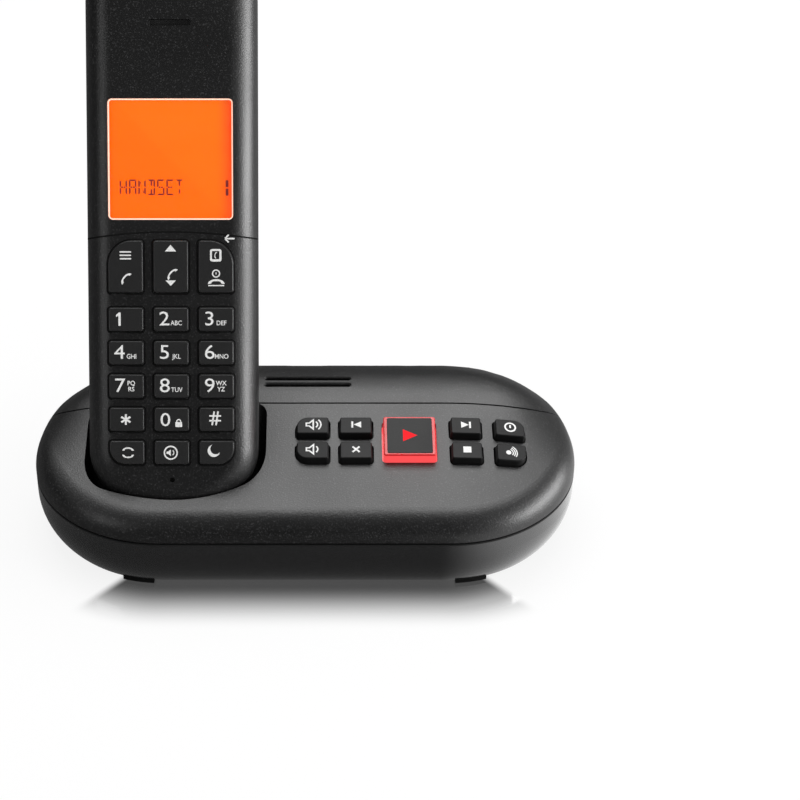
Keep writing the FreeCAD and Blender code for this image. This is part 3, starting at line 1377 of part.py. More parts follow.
# the part's own origin is the middle of the whole object's outline, on the table
outer_copy = handset_outer.Shape.copy()
outer_copy.Placement = handset
origin = Vector((float(d.right_arc) - float(d.left_arc)) / 2,
                (outer_copy.optimalBoundingBox().YMax - float(d.base_half_depth)) / 2, 0)
print("origin", origin)
for name, thing, frame, pieces in sub_parts:
    thing.Placement = Placement(-origin, Rotation()).multiply(frame)
doc.recompute()
os.makedirs("parts", exist_ok=True)
for name, thing, frame, pieces in sub_parts:
    shape = thing.Shape
    if shape.isNull() or not shape.isValid() or len(shape.Solids) != pieces:
        raise RuntimeError("%s is not %d sound solid(s)" % (name, pieces))
    shape.exportStep(os.path.join("parts", name + ".step"))
print(len(sub_parts), "sub-parts written")
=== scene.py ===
"""Answering machine with a cordless handset: finishes, printed signs, display, light and camera."""
import math

import bpy
from mathutils import Matrix, Vector


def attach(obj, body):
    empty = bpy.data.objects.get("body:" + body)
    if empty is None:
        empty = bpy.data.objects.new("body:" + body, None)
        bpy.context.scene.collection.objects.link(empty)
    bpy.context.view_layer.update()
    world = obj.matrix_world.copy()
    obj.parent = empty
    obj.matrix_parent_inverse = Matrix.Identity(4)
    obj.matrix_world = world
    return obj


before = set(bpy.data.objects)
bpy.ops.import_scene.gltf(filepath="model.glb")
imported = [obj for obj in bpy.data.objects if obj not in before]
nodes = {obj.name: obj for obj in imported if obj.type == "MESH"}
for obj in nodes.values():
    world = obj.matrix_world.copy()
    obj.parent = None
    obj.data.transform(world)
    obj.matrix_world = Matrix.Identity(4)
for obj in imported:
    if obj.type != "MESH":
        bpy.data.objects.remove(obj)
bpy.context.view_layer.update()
MM = 0.001
WHITE = (1.0, 1.0, 1.0, 1.0)

# ------------------------------------------------------------------ camera
camera_data = bpy.data.cameras.new("studio_camera")
camera = bpy.data.objects.new("studio_camera", camera_data)
bpy.context.scene.collection.objects.link(camera)
camera.location = (0.00644, -0.49773, 0.39111)
camera.rotation_euler = (math.radians(54.0), 0.0, 0.0)
camera_data.lens = 92.45
camera_data.sensor_width = 36.0
camera_data.shift_x = 0.0911
camera_data.clip_start, camera_data.clip_end = 0.01, 20.0
bpy.context.scene.camera = camera

# ------------------------------------------------------------------ frames of the object, in mm
PANEL_TILT = math.radians(13.1)             # key panel, down towards the user
HANDSET_LEAN = math.radians(31.0)           # handset, back from upright
CROWN_START, CROWN_RADIUS = 78.4, 140.0     # where the panel begins to drop to the right
HANDSET_X = -37.35                          # middle of the handset
HANDSET_FACE = (HANDSET_X, -43.535, 26.9)   # where its face passes the cradle's edge
FACE_HALF_FLAT, FACE_ROUND = 16.1, 8.0      # the face is flat this far out, then rounds off
FLATNESS = 0.03                             # what counts as one level on a cap's top
# the base's keys and where each stands across the panel
BASE_COLUMNS = {"volume_up_key": 39.6, "volume_down_key": 39.6, "previous_key": 52.1,
                "delete_key": 52.1, "next_key": 84.0, "stop_key": 84.0,
                "answer_power_key": 96.7, "find_handset_key": 96.7}


def column_lean(column):
    """How far a key of the base leans to the right, following the crowned panel."""
    return math.asin(max(0.0, column - CROWN_START) / CROWN_RADIUS)


def panel_axes(lean=0.0):
    """Across, up the slope and out of the panel."""
    up = Vector((0.0, math.cos(PANEL_TILT), math.sin(PANEL_TILT)))
    out = Vector((math.sin(lean), -math.cos(lean) * math.sin(PANEL_TILT),
                  math.cos(lean) * math.cos(PANEL_TILT)))
    return up.cross(out), up, out


def handset_axes():
    """Across, along and out of the handset's face."""
    up = Vector((0.0, math.sin(HANDSET_LEAN), math.cos(HANDSET_LEAN)))
    out = Vector((0.0, -math.cos(HANDSET_LEAN), math.sin(HANDSET_LEAN)))
    return up.cross(out), up, out


def frame_matrix(axes, origin):
    matrix = Matrix(axes).transposed().to_4x4()
    matrix.translation = origin
    return matrix


def top_face(node, axes):
    """The frame at the middle of a cap's top face."""
    across, up, out = axes
    points = [vertex.co for vertex in nodes[node].data.vertices]
    level = max(point.dot(out) for point in points)
    face = [point for point in points if level - point.dot(out) < FLATNESS * MM]
    middle = [(min(point.dot(axis) for point in face) + max(point.dot(axis) for point in face)) / 2
              for axis in (across, up)]
    return frame_matrix(axes, across * middle[0] + up * middle[1] + out * level)


# ------------------------------------------------------------------ node trees
class Graph:
    """Short calls for a node tree."""

    def __init__(self, tree):
        self.tree = tree

    def node(self, kind, values=None, **settings):
        made = self.tree.nodes.new(kind)
        for name, value in settings.items():
            setattr(made, name, value)
        for name, value in (values or {}).items():
            if isinstance(value, bpy.types.NodeSocket):
                self.tree.links.new(value, made.inputs[name])
            else:
                made.inputs[name].default_value = value
        return made

    def link(self, value, node, name):
        self.tree.links.new(value, node.inputs[name])

    def maths(self, operation, first, second=0.5, third=0.0):
        return self.node("ShaderNodeMath", {0: first, 1: second, 2: third},
                         operation=operation).outputs[0]

    def product(self, first, second):
        return self.maths("MULTIPLY", first, second)

    def span(self, value, low, high, to_low=0.0, to_high=1.0):
        """From to_low at low to to_high at high, eased at both ends."""
        return self.node("ShaderNodeMapRange", {"Value": value, "From Min": low, "From Max": high,
                                                "To Min": to_low, "To Max": to_high},
                         interpolation_type="SMOOTHSTEP").outputs["Result"]

    def mix(self, share, first, second):
        """A colour between two."""
        return self.node("ShaderNodeMix", {0: share, 6: (*first, 1.0), 7: (*second, 1.0)},
                         data_type="RGBA").outputs[2]

    def blend(self, share, first, second):
        """A surface or a background between two."""
        return self.node("ShaderNodeMixShader", {0: share, 1: first, 2: second}).outputs[0]

    def place(self):
        """The point of the object, in metres."""
        return self.node("ShaderNodeTexCoord").outputs["Object"]

    def parts(self, vector):
        return self.node("ShaderNodeSeparateXYZ", {"Vector": vector}).outputs

    def noise(self, scale, detail=2.0, place=None):
        return self.node("ShaderNodeTexNoise", {"Vector": place or self.place(), "Scale": scale,
                                                "Detail": detail}).outputs["Fac"]


GRAINS = "Grains per metre"
CLOUDS_PER_GRAIN = 0.012


def moulded_grain():
    """The group for the fine grain of moulded plastic: its height, the pale flecks on its tops
    (partly the plastic's own speckle, partly a painted glint on the grain's peaks) and a broad
    cloud."""
    tree = bpy.data.node_groups.new("moulded_grain", "ShaderNodeTree")
    tree.interface.new_socket(GRAINS, in_out="INPUT", socket_type="NodeSocketFloat")
    for title in ("Height", "Fleck_and_glint", "Cloud"):
        tree.interface.new_socket(title, in_out="OUTPUT", socket_type="NodeSocketFloat")
    graph = Graph(tree)
    grains = graph.node("NodeGroupInput").outputs[GRAINS]
    fine = graph.noise(grains)
    # pale flecks where the grain is highest: speckle, and a painted glint on the peaks
    graph.node("NodeGroupOutput", {
        "Height": fine, "Fleck_and_glint": graph.span(fine, 0.54, 0.74),
        "Cloud": graph.noise(graph.product(grains, CLOUDS_PER_GRAIN), 3.0)})
    return tree


GRAIN = moulded_grain()


def finish(name, colour, roughness, specular=0.5, **settings):
    """A material with a Principled shader; returns the material, its graph and the shader."""
    made = bpy.data.materials.new(name)
    made.use_nodes = True
    made.node_tree.nodes.clear()
    made.diffuse_color = (*colour, 1.0)
    graph = Graph(made.node_tree)
    shader = graph.node("ShaderNodeBsdfPrincipled", {
        "Base Color": (*colour, 1.0), "Roughness": roughness, "Specular IOR Level": specular,
        **settings})
    graph.node("ShaderNodeOutputMaterial", {"Surface": shader.outputs["BSDF"]})
    return made, graph, shader


def moulded_plastic(name, dark, pale, roughness, grains, depth, fleck=0.5, **settings):
    """Moulded plastic with a grain: colour between dark and pale, pale on the grain's peaks as
    speckle and a painted glint; bumps depth metres high.
    """
    made, graph, shader = finish(name, dark, roughness, **settings)
    grain = graph.node("ShaderNodeGroup", {GRAINS: grains}, node_tree=GRAIN).outputs
    # the pale share on the grain's peaks is partly a painted glint
    graph.link(graph.mix(graph.product(grain["Fleck_and_glint"], fleck), dark, pale), shader, "Base Color")
    graph.link(graph.span(grain["Cloud"], 0.3, 0.7, roughness - 0.03, roughness + 0.03), shader,
               "Roughness")
    bump = graph.node("ShaderNodeBump", {"Height": grain["Height"], "Strength": 1.0,
                                         "Distance": depth})
    graph.link(bump.outputs["Normal"], shader, "Normal")
    return made, graph, shader


def plastic(*look, **settings):
    return moulded_plastic(*look, **settings)[0]


# ------------------------------------------------------------------ finishes
shell_plastic = plastic("grained_black_shell", (0.004, 0.004, 0.0042), (0.044, 0.044, 0.045),
                        0.38, 2250.0, 0.000064, fleck=0.9, specular=0.8)
key_plastic = plastic("satin_key", (0.019, 0.019, 0.0192), (0.031, 0.031, 0.0315), 0.33, 4200.0,
                      0.000010)
panel_key_plastic = plastic("satin_panel_key", (0.007, 0.007, 0.0072), (0.018, 0.018, 0.0185),
                            0.38, 4200.0, 0.000010, specular=0.2)
cap_plastic = plastic("play_cap_plastic", (0.014, 0.014, 0.014), (0.026, 0.026, 0.026), 0.45,
                      3600.0, 0.000008, specular=0.25)
rubber = plastic("rubber", (0.004, 0.004, 0.004), (0.012, 0.012, 0.012), 0.8, 1800.0, 0.00002,
                 specular=0.15)
silicone = plastic("silicone_rubber", (0.16, 0.16, 0.165), (0.22, 0.22, 0.225), 0.6, 1500.0,
                   0.000008)
socket_plastic = plastic("socket_plastic", (0.02, 0.02, 0.021), (0.035, 0.035, 0.036), 0.4,
                         3000.0, 0.000006)
speaker_paper = plastic("speaker_paper", (0.03, 0.03, 0.03), (0.06, 0.06, 0.058), 0.8, 1300.0,
                        0.00002)


def satin_lower_shell():
    """Glossy plastic; only the chamfer of its rim is left as cut, without gloss."""
    satin, cut = 0.26, 0.75
    made, graph, shader = moulded_plastic(
        "satin_lower_shell", (0.006, 0.006, 0.0062), (0.012, 0.012, 0.0125), satin, 2600.0,
        0.000006, fleck=0.3, **{"Coat Roughness": 0.12, "Coat IOR": 1.7})
    normal = graph.node("ShaderNodeNewGeometry").outputs["Normal"]
    rim = graph.span(graph.parts(normal)["Z"], 0.08, 0.3)
    graph.link(graph.span(rim, 0.0, 1.0, 1.0, 0.0), shader, "Coat Weight")
    graph.link(graph.span(rim, 0.0, 1.0, satin, cut), shader, "Roughness")
    return made


lower_plastic = satin_lower_shell()


def metal(name, colour, roughness):
    """Brushed metal, its lines running along X."""
    made, graph, shader = finish(name, colour, roughness, Metallic=1.0)
    lines = graph.node("ShaderNodeMapping", {"Vector": graph.place(), "Scale": (1.0, 14.0, 14.0)})
    noise = graph.noise(900.0, 3.0, lines.outputs["Vector"])
    graph.link(graph.span(noise, 0.3, 0.7, roughness - 0.08, roughness + 0.1), shader, "Roughness")
    graph.link(graph.mix(noise, [channel * 0.85 for channel in colour], colour), shader,
               "Base Color")
    return made


steel = metal("zinc_plated_steel", (0.62, 0.62, 0.63), 0.3)
gold = metal("plated_spring", (0.83, 0.65, 0.30), 0.25)


def circuit_board():
    """Green solder mask with a faint net of tracks."""
    made, graph, shader = finish("circuit_board", (0.01, 0.09, 0.035), 0.35)
    tracks = graph.node("ShaderNodeTexVoronoi", {"Vector": graph.place(), "Scale": 260.0},
                        feature="DISTANCE_TO_EDGE").outputs["Distance"]
    graph.link(graph.mix(graph.span(tracks, 0.02, 0.05), (0.02, 0.16, 0.06), (0.008, 0.08, 0.03)),
               shader, "Base Color")
    return made


board_mask = circuit_board()


def printed_white():
    """Pad-printed white ink, a little uneven."""
    made, graph, shader = finish("printed_white", (0.78, 0.78, 0.77), 0.5)
    graph.link(graph.mix(graph.span(graph.noise(2500.0), 0.3, 0.7), (0.80, 0.80, 0.79),
                         (0.92, 0.92, 0.91)), shader, "Base Color")
    return made


white_ink = printed_white()


def glow(graph, shader, tint, strength):
    """One tint for the surface and for its own light."""
    graph.link(tint, shader, "Base Color")
    graph.link(tint, shader, "Emission Color")
    shader.inputs["Emission Strength"].default_value = strength


def glowing(name, flat, dark, pale, roughness, strength, clouds, **settings):
    """A surface that is lit from behind, its colour in clouds between dark and pale; flat stands
    for both where a plain colour is wanted."""
    made, graph, shader = finish(name, flat, roughness, **settings)
    glow(graph, shader, graph.mix(graph.noise(clouds), dark, pale), strength)
    return made


red_ink = glowing("printed_red", (0.85, 0.012, 0.016), (0.72, 0.012, 0.018), (0.86, 0.02, 0.028),
                  0.7, 0.25, 1500.0, specular=0.1)
lamp_glow = glowing("lit_lamp", (0.9, 0.05, 0.03), (0.9, 0.03, 0.02), (1.0, 0.2, 0.1), 0.2, 1.5,
                    600.0)
segment_ink = glowing("display_segment", (0.13, 0.001, 0.0), (0.13, 0.001, 0.0),
                      (0.19, 0.003, 0.0), 0.5, 0.4, 900.0)
border_light = glowing("display_border_light", (1.0, 0.62, 0.46), (1.0, 0.62, 0.46),
                       (1.0, 0.70, 0.56), 0.5, 0.8, 900.0)


def lit_red_frame():
    """Clear red plastic lit from below, its walls glowing and its inner lip paler."""
    made, graph, shader = finish("lit_red_frame", (0.62, 0.01, 0.015), 0.22,
                                 **{"Coat Weight": 0.3, "Emission Strength": 1.0})
    across, up, out = panel_axes()
    place = graph.place()
    centre = top_face("play_key", panel_axes()).translation
    cap_half = 6.5 * MM

    def along(axis):
        offset = graph.node("ShaderNodeVectorMath", {0: place, 1: centre}, operation="SUBTRACT")
        return graph.node("ShaderNodeVectorMath", {0: offset.outputs[0], 1: axis},
                          operation="DOT_PRODUCT").outputs["Value"]

    aside = graph.maths("MAXIMUM", graph.maths("ABSOLUTE", along(across)),
                        graph.maths("ABSOLUTE", along(up)))
    lip = graph.span(graph.maths("SUBTRACT", aside, cap_half), 0.35 * MM, 0.05 * MM)
    graph.link(graph.mix(lip, (0.55, 0.008, 0.012), (0.70, 0.06, 0.06)), shader, "Base Color")
    wall = graph.span(along(out), -0.2 * MM, -0.7 * MM)
    graph.link(graph.mix(wall, (0.12, 0.003, 0.004), (0.78, 0.085, 0.09)), shader,
               "Emission Color")
    return made


red_frame = lit_red_frame()


def backlight():
    """The display's glass: orange, redder along its right edge."""
    made, graph, shader = finish("display_backlight", (1.0, 0.22, 0.0), 0.5, specular=0.1)
    edge = graph.span(graph.parts(graph.place())["X"], (HANDSET_X + 12.5) * MM,
                      (HANDSET_X + 17) * MM)
    clouds = graph.span(graph.noise(120.0, 1.0), 0.2, 0.8, 0.75, 1.0)
    glow(graph, shader, graph.mix(graph.product(edge, clouds), (1.0, 0.175, 0.002),
                                  (0.95, 0.095, 0.012)), 0.4)
    return made


display_glass = backlight()


def window_plastic():
    """The clear window, its low index that of a coated one."""
    made, graph, shader = finish("clear_window", (0.92, 0.90, 0.88), 0.06,
                                 **{"Transmission Weight": 1.0, "IOR": 1.2})
    graph.link(graph.span(graph.noise(90.0), 0.3, 0.7, 0.04, 0.09), shader, "Roughness")
    return made


window_clear = window_plastic()

NODE_FINISH = {
    "front_cover": shell_plastic, "rear_cover": shell_plastic, "handset_front": shell_plastic,
    "handset_back": shell_plastic, "battery_cover": shell_plastic, "display_bezel": shell_plastic,
    "bottom_shell": lower_plastic, "play_key": red_frame, "play_key_cap": cap_plastic,
    "key_mat": silicone, "handset_key_mat": silicone, "key_board": board_mask,
    "main_board": board_mask, "handset_board": board_mask, "board_screws": steel,
    "case_screws": steel, "handset_screws": steel, "radio_shield": steel,
    "battery_contacts": steel, "charging_contacts": gold, "charging_pads": gold,
    "play_key_lamp": lamp_glow, "display_window": window_clear, "display_module": display_glass,
    "line_socket": socket_plastic, "power_socket": socket_plastic, "ribbon_cable": silicone,
    "battery_cells": socket_plastic, "speaker_gasket": rubber, "rubber_feet": rubber,
    "loudspeaker": speaker_paper, "earpiece": speaker_paper, "microphone": speaker_paper,
    "ringer": speaker_paper,
}
for name, node in nodes.items():
    of_a_key = panel_key_plastic if name in BASE_COLUMNS else key_plastic
    node.data.materials.clear()
    node.data.materials.append(NODE_FINISH.get(name, of_a_key))

# ------------------------------------------------------------------ outlines, in mm
CIRCLE_STEPS, BOW_STEPS, CORNER_STEPS = 40, 16, 6


def arc(x, y, radius, start, end, steps):
    """Points along an arc, angles in degrees."""
    angles = [math.radians(start + (end - start) * i / steps) for i in range(steps + 1)]
    return [(x + radius * math.cos(a), y + radius * math.sin(a)) for a in angles]


def circle(x, y, radius):
    return arc(x, y, radius, 0, 360, CIRCLE_STEPS)[:-1]


def ring(x, y, radius, width):
    return [circle(x, y, radius), circle(x, y, radius - width)]


def bow(x, y, radius, width, start, end):
    """A band along an arc, angles in degrees."""
    return [arc(x, y, radius + width / 2, start, end, BOW_STEPS)
            + arc(x, y, radius - width / 2, end, start, BOW_STEPS)]


def bar(x1, y1, x2, y2, width):
    """A straight stroke with square ends."""
    along = Vector((x2 - x1, y2 - y1)).normalized()
    side = Vector((-along.y, along.x)) * width / 2
    return [[(x1 + side.x, y1 + side.y), (x1 - side.x, y1 - side.y),
             (x2 - side.x, y2 - side.y), (x2 + side.x, y2 + side.y)]]


def rectangle(x1, y1, x2, y2):
    return [[(x1, y1), (x2, y1), (x2, y2), (x1, y2)]]


def rounded(x1, y1, x2, y2, radius):
    """A rectangle with round corners."""
    points = []
    for x, y, start in ((x2 - radius, y2 - radius, 0), (x1 + radius, y2 - radius, 90),
                        (x1 + radius, y1 + radius, 180), (x2 - radius, y1 + radius, 270)):
        points += arc(x, y, radius, start, start + 90, CORNER_STEPS)
    return [points]


def moved(loops, x, y, turn=0.0, size=1.0):
    c, s = math.cos(math.radians(turn)) * size, math.sin(math.radians(turn)) * size
    return [[(x + px * c - py * s, y + px * s + py * c) for px, py in loop] for loop in loops]


def moved_all(groups, x, y, turn=0.0, size=1.0):
    return [moved(loops, x, y, turn, size) for loops in groups]


# ------------------------------------------------------------------ thin printed solids
INK_THICK = 0.03    # in mm
INK_SUNK = 0.005    # how deep ink and other thin layers sit in what carries them
INK_STEP = 0.002    # between groups of one sign that cross


def flat_mesh(name, loops, matrix, thick=INK_THICK, lift=0.0):
    """Closed outlines, with holes where they nest, as one thin solid in place."""
    curve = bpy.data.curves.new(name, "CURVE")
    curve.dimensions, curve.fill_mode = "2D", "BOTH"
    curve.extrude = thick * MM / 2
    for loop in loops:
        spline = curve.splines.new("POLY")
        spline.points.add(len(loop) - 1)
        for point, (x, y) in zip(spline.points, loop):
            point.co = (x * MM, y * MM, 0.0, 1.0)
        spline.use_cyclic_u = True
    return curve_to_mesh(name, curve, matrix, thick, lift)


def curve_to_mesh(name, curve, matrix, thick, lift):
    maker = bpy.data.objects.new(name + "_maker", curve)
    bpy.context.scene.collection.objects.link(maker)
    bpy.context.view_layer.update()
    mesh = bpy.data.meshes.new_from_object(
        maker.evaluated_get(bpy.context.evaluated_depsgraph_get()))
    bpy.data.objects.remove(maker)
    bpy.data.curves.remove(curve)
    mesh.transform(matrix @ Matrix.Translation((0, 0, (lift + thick / 2 - INK_SUNK) * MM)))
    return mesh


def characters(text, size, x, y, weight=0.0, squeeze=1.0):
    """Makes plain characters once their cap's frame is known; size is a capital's height in mm."""
    capital_share = 0.73    # of the font's size

    def make(matrix):
        name = "text_" + text
        curve = bpy.data.curves.new(name, "FONT")
        curve.body = text
        curve.size = size * MM / capital_share
        curve.align_x, curve.align_y = "CENTER", "BOTTOM_BASELINE"
        curve.extrude = INK_THICK * MM / 2
        curve.offset = weight * MM
        curve.resolution_u = 3
        place = matrix @ Matrix.Translation((x * MM, y * MM, 0))
        return curve_to_mesh(name, curve, place @ Matrix.Diagonal((squeeze, 1, 1, 1)), INK_THICK,
                             0.0)
    return make


def piece(name, meshes, body, finish_of_piece):
    """One object from several meshes, riding on a body."""
    joined = bpy.data.meshes.new(name)
    points, faces = [], []
    for mesh in meshes:
        start = len(points)
        points += [vertex.co.copy() for vertex in mesh.vertices]
        faces += [[start + index for index in polygon.vertices] for polygon in mesh.polygons]
        bpy.data.meshes.remove(mesh)
    joined.from_pydata(points, [], faces)
    joined.validate()
    joined.materials.append(finish_of_piece)
    made = bpy.data.objects.new(name, joined)
    bpy.context.scene.collection.objects.link(made)
    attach(made, body)


def sign(name, node, axes, groups, body, ink, more=()):
    """Groups of outlines, and characters from more, printed on the top face of a cap."""
    place = top_face(node, axes)
    meshes = [flat_mesh(name, loops, place, lift=INK_STEP * (index % 3))
              for index, loops in enumerate(groups)]
    piece(name, meshes + [make(place) for make in more], body, ink)


# ------------------------------------------------------------------ signs of the base's keys
def loudspeaker_sign(waves):
    """A loudspeaker's outline with sound waves to its right."""
    body = [[(-2.4, -0.62), (-1.6, -0.62), (-0.35, -1.85), (-0.35, 1.85), (-1.6, 0.62),
             (-2.4, 0.62)],
            [(-2.02, -0.26), (-2.02, 0.26), (-1.42, 0.26), (-0.72, 0.95), (-0.72, -0.95),
             (-1.42, -0.26)]]
    return [body] + [bow(-0.75, 0.0, 1.25 + 0.82 * index, 0.36, -46, 46) for index in range(waves)]


def skip_sign(direction):
    """A triangle and a bar: to the previous or the next message."""
    triangle = [[(-direction * 0.95, 1.05), (direction * 1.0, 0.0), (-direction * 0.95, -1.05)]]
    low, high = sorted((direction * 1.1, direction * 1.6))
    return [triangle, rectangle(low, -1.05, high, 1.05)]


def handset_sign():
    """A telephone handset lying on its face."""
    back = [(2.25 * math.cos(math.radians(a)), -0.6 + 1.2 * math.sin(math.radians(a)))
            for a in range(12, 169, 12)]
    return [[(2.35, -0.6)] + back + [(-2.35, -0.6), (-2.2, -0.8), (-1.4, -0.62), (-1.25, -0.2),
                                     (-0.7, 0.02), (0.7, 0.02), (1.25, -0.2), (1.4, -0.62),
                                     (2.2, -0.8)]]


SIGNS = {
    "volume_up_key": moved_all(loudspeaker_sign(2), 0.8, 0.2, size=1.2),
    "volume_down_key": moved_all(loudspeaker_sign(1), 0.9, 0.2, size=1.2),
    "previous_key": moved_all(skip_sign(-1), 0.5, 0.2, size=1.12),
    "next_key": moved_all(skip_sign(1), -0.35, 0.2, size=1.12),
    "delete_key": [bar(-1.0, -0.8, 1.0, 1.2, 0.55), bar(-1.0, 1.2, 1.0, -0.8, 0.55)],
    "stop_key": [rectangle(-1.15, -0.9, 1.15, 1.3)],
    "answer_power_key": [ring(0, 0.2, 1.75, 0.48), rectangle(-0.26, -0.1, 0.26, 1.0)],
    "find_handset_key": moved_all([[circle(0, 0, 0.85)], bow(0, 0, 1.45, 0.34, -52, 52),
                                   bow(0, 0, 2.1, 0.34, -50, 50), bow(0, 0, 2.75, 0.34, -48, 48)],
                                  -0.95, -0.1, 14, 0.9),
}
for key, column in BASE_COLUMNS.items():
    sign(key + "_sign", key, panel_axes(column_lean(column)), SIGNS[key], key, white_ink)
sign("play_sign", "play_key_cap", panel_axes(), [[[(-1.95, 2.25), (2.2, 0.0), (-1.95, -2.25)]]],
     "play_key", red_ink)


# ------------------------------------------------------------------ signs of the handset's keys
def phone_sign(key, groups, *more):
    sign(key + "_sign", key, handset_axes(), groups, key, white_ink, more)


DIGIT_HEIGHT, DIGIT_X, DIGIT_Y = 4.1, -1.85, -1.65
LETTERS = {"key_2": "ABC", "key_3": "DEF", "key_4": "GHI", "key_5": "JKL", "key_6": "MNO",
           "key_7": "PQRS", "key_8": "TUV", "key_9": "WXYZ"}
for key, small in LETTERS.items():
    made = [characters(key[-1], DIGIT_HEIGHT, DIGIT_X, DIGIT_Y, squeeze=1.15)]
    if len(small) < 4:
        made.append(characters(small, 1.35, 1.5, -1.6, weight=0.02, squeeze=0.9))
    else:
        made += [characters(two, 1.3, 1.35, y, weight=0.03, squeeze=0.95)
                 for two, y in ((small[:2], 0.3), (small[2:], -1.4))]
    phone_sign(key, [], *made)
phone_sign("key_1", [[[(-2.1, -1.78), (-1.45, -1.78), (-1.45, 1.97), (-1.9, 1.97), (-2.75, 1.3),
                       (-2.75, 0.65), (-2.1, 1.1)]]])
lock = [rounded(1.05, -2.1, 2.95, -0.7, 0.2), bow(2.0, -0.55, 0.55, 0.3, 0, 180),
        rectangle(1.3, -0.75, 1.6, -0.5), rectangle(2.4, -0.75, 2.7, -0.5)]
phone_sign("key_0", lock, characters("0", 3.95, -1.75, -1.85, squeeze=1.15))
phone_sign("hash_key", moved_all([
    bar(-1.35, -1.95, -0.75, 1.95, 0.46), bar(-0.25, -1.95, 0.35, 1.95, 0.46),
    rectangle(-2.15, 0.45, 1.15, 0.9), rectangle(-2.15, -0.9, 1.15, -0.45)], 0.1, 0.35))
phone_sign("star_key", moved_all([moved(bar(-1.5, 0, 1.5, 0, 0.55), 0, 0, turn)
                                  for turn in (30, 90, 150)], -0.25, 0))
moon = arc(0, 0, 1.75, 103, 348, 35) + arc(0.5, 0.5, 1.5, 324, 126, 33)
phone_sign("night_key", [moved([moon], -0.8, 0.55)])
phone_sign("speaker_key", [ring(-0.3, 0.0, 2.0, 0.4), bow(-0.3, 0, 0.85, 0.3, -48, 48),
                           [[(-1.5, -0.35), (-1.0, -0.35), (-0.3, -0.95), (-0.3, 0.95),
                             (-1.0, 0.35), (-1.5, 0.35)]]])
phone_sign("intercom_key", [moved(handset_sign(), 0.3, 1.1, 0, 0.7),
                            moved(handset_sign(), 0.3, -1.1, 180, 0.7)])
phone_sign("right_key", [
    rounded(-1.6, 1.4, 1.6, 4.9, 0.6) + rounded(-1.08, 2.05, 1.0, 4.35, 0.2),
    rectangle(-1.6, 1.9, 1.6, 1.98), moved(handset_sign(), -0.12, 3.2, 82, 0.42),
    ring(0.05, -1.94, 1.15, 0.34), rectangle(-0.08, -2.2, 0.2, -1.6),
    moved(handset_sign(), 0.1, -4.1), rectangle(-2.12, -5.47, 2.33, -5.13)])
phone_sign("left_key", [rounded(-1.6, y, 1.6, y + 0.4, 0.15) for y in (3.9, 2.95, 2.0)]
           + [moved(handset_sign(), -0.1, -3.1, 48, 0.85)])
phone_sign("rocker_key", [[[(-1.58, 4.22), (1.58, 4.22), (0.0, 6.06)]],
                          [[(-1.47, -3.87), (0.0, -5.37), (1.47, -3.87)]],
                          moved(handset_sign(), 0.2, -1.9, 48, 0.85)])

# ------------------------------------------------------------------ handset's face, in mm
handset_face = frame_matrix(handset_axes(), Vector(HANDSET_FACE) * MM)
from_face = handset_face.inverted()


def on_face(x, y, rise):
    """A point over the handset's face, which rounds off on both sides."""
    over = min(max(abs(x) - FACE_HALF_FLAT, 0.0), FACE_ROUND)
    turn = math.asin(over / FACE_ROUND)
    across = min(abs(x), FACE_HALF_FLAT) + (FACE_ROUND + rise) * math.sin(turn)
    return handset_face @ (Vector((math.copysign(across, x), y,
                                   (FACE_ROUND + rise) * math.cos(turn) - FACE_ROUND)) * MM)


BAND_PROUD, BAND_SUNK = 0.03, 0.06


def band(name, inner, outer, closed):
    """A thin band between two rows of face points, one row as long as the other."""
    count = len(inner)
    points = [on_face(x, y, rise)
              for row, rise in ((inner, BAND_PROUD), (outer, BAND_PROUD), (outer, -BAND_SUNK),
                                (inner, -BAND_SUNK)) for x, y in row]
    faces = []
    for index in range(count if closed else count - 1):
        after = (index + 1) % count
        faces += [(row * count + index, row * count + after, (row + 1) % 4 * count + after,
                   (row + 1) % 4 * count + index) for row in range(4)]
    if not closed:
        faces += [(0, count, 2 * count, 3 * count),
                  (4 * count - 1, 3 * count - 1, 2 * count - 1, count - 1)]
    mesh = bpy.data.meshes.new(name)
    mesh.from_pydata(points, [], faces)
    return mesh


def key_outline(key):
    """Where a key's wall passes the face: the hull of its upper part, counter-clockwise."""
    seen = [from_face @ vertex.co / MM for vertex in nodes[key].data.vertices]
    points = sorted({(round(point.x, 3), round(point.y, 3)) for point in seen if point.z > 0.1})

    def half(row):
        chain = []
        for x, y in row:
            while len(chain) > 1:
                (x1, y1), (x2, y2) = chain[-2:]
                if (x2 - x1) * (y - y1) - (y2 - y1) * (x - x1) > 0:
                    break
                chain.pop()
            chain.append((x, y))
        return chain[:-1]

    return half(points) + half(reversed(points))


def grown(outline, by, x=0.0, y=0.0):
    """A convex outline grown outwards and shifted."""
    made = []
    for index, here in enumerate(outline):
        before, after = Vector(outline[index - 1]), Vector(outline[(index + 1) % len(outline)])
        first, second = (Vector(here) - before).normalized(), (after - Vector(here)).normalized()
        normal = Vector((first.y + second.y, -first.x - second.x)).normalized()
        reach = by / max(0.5, normal.dot(Vector((first.y, -first.x))))
        made.append((here[0] + normal.x * reach + x, here[1] + normal.y * reach + y))
    return made


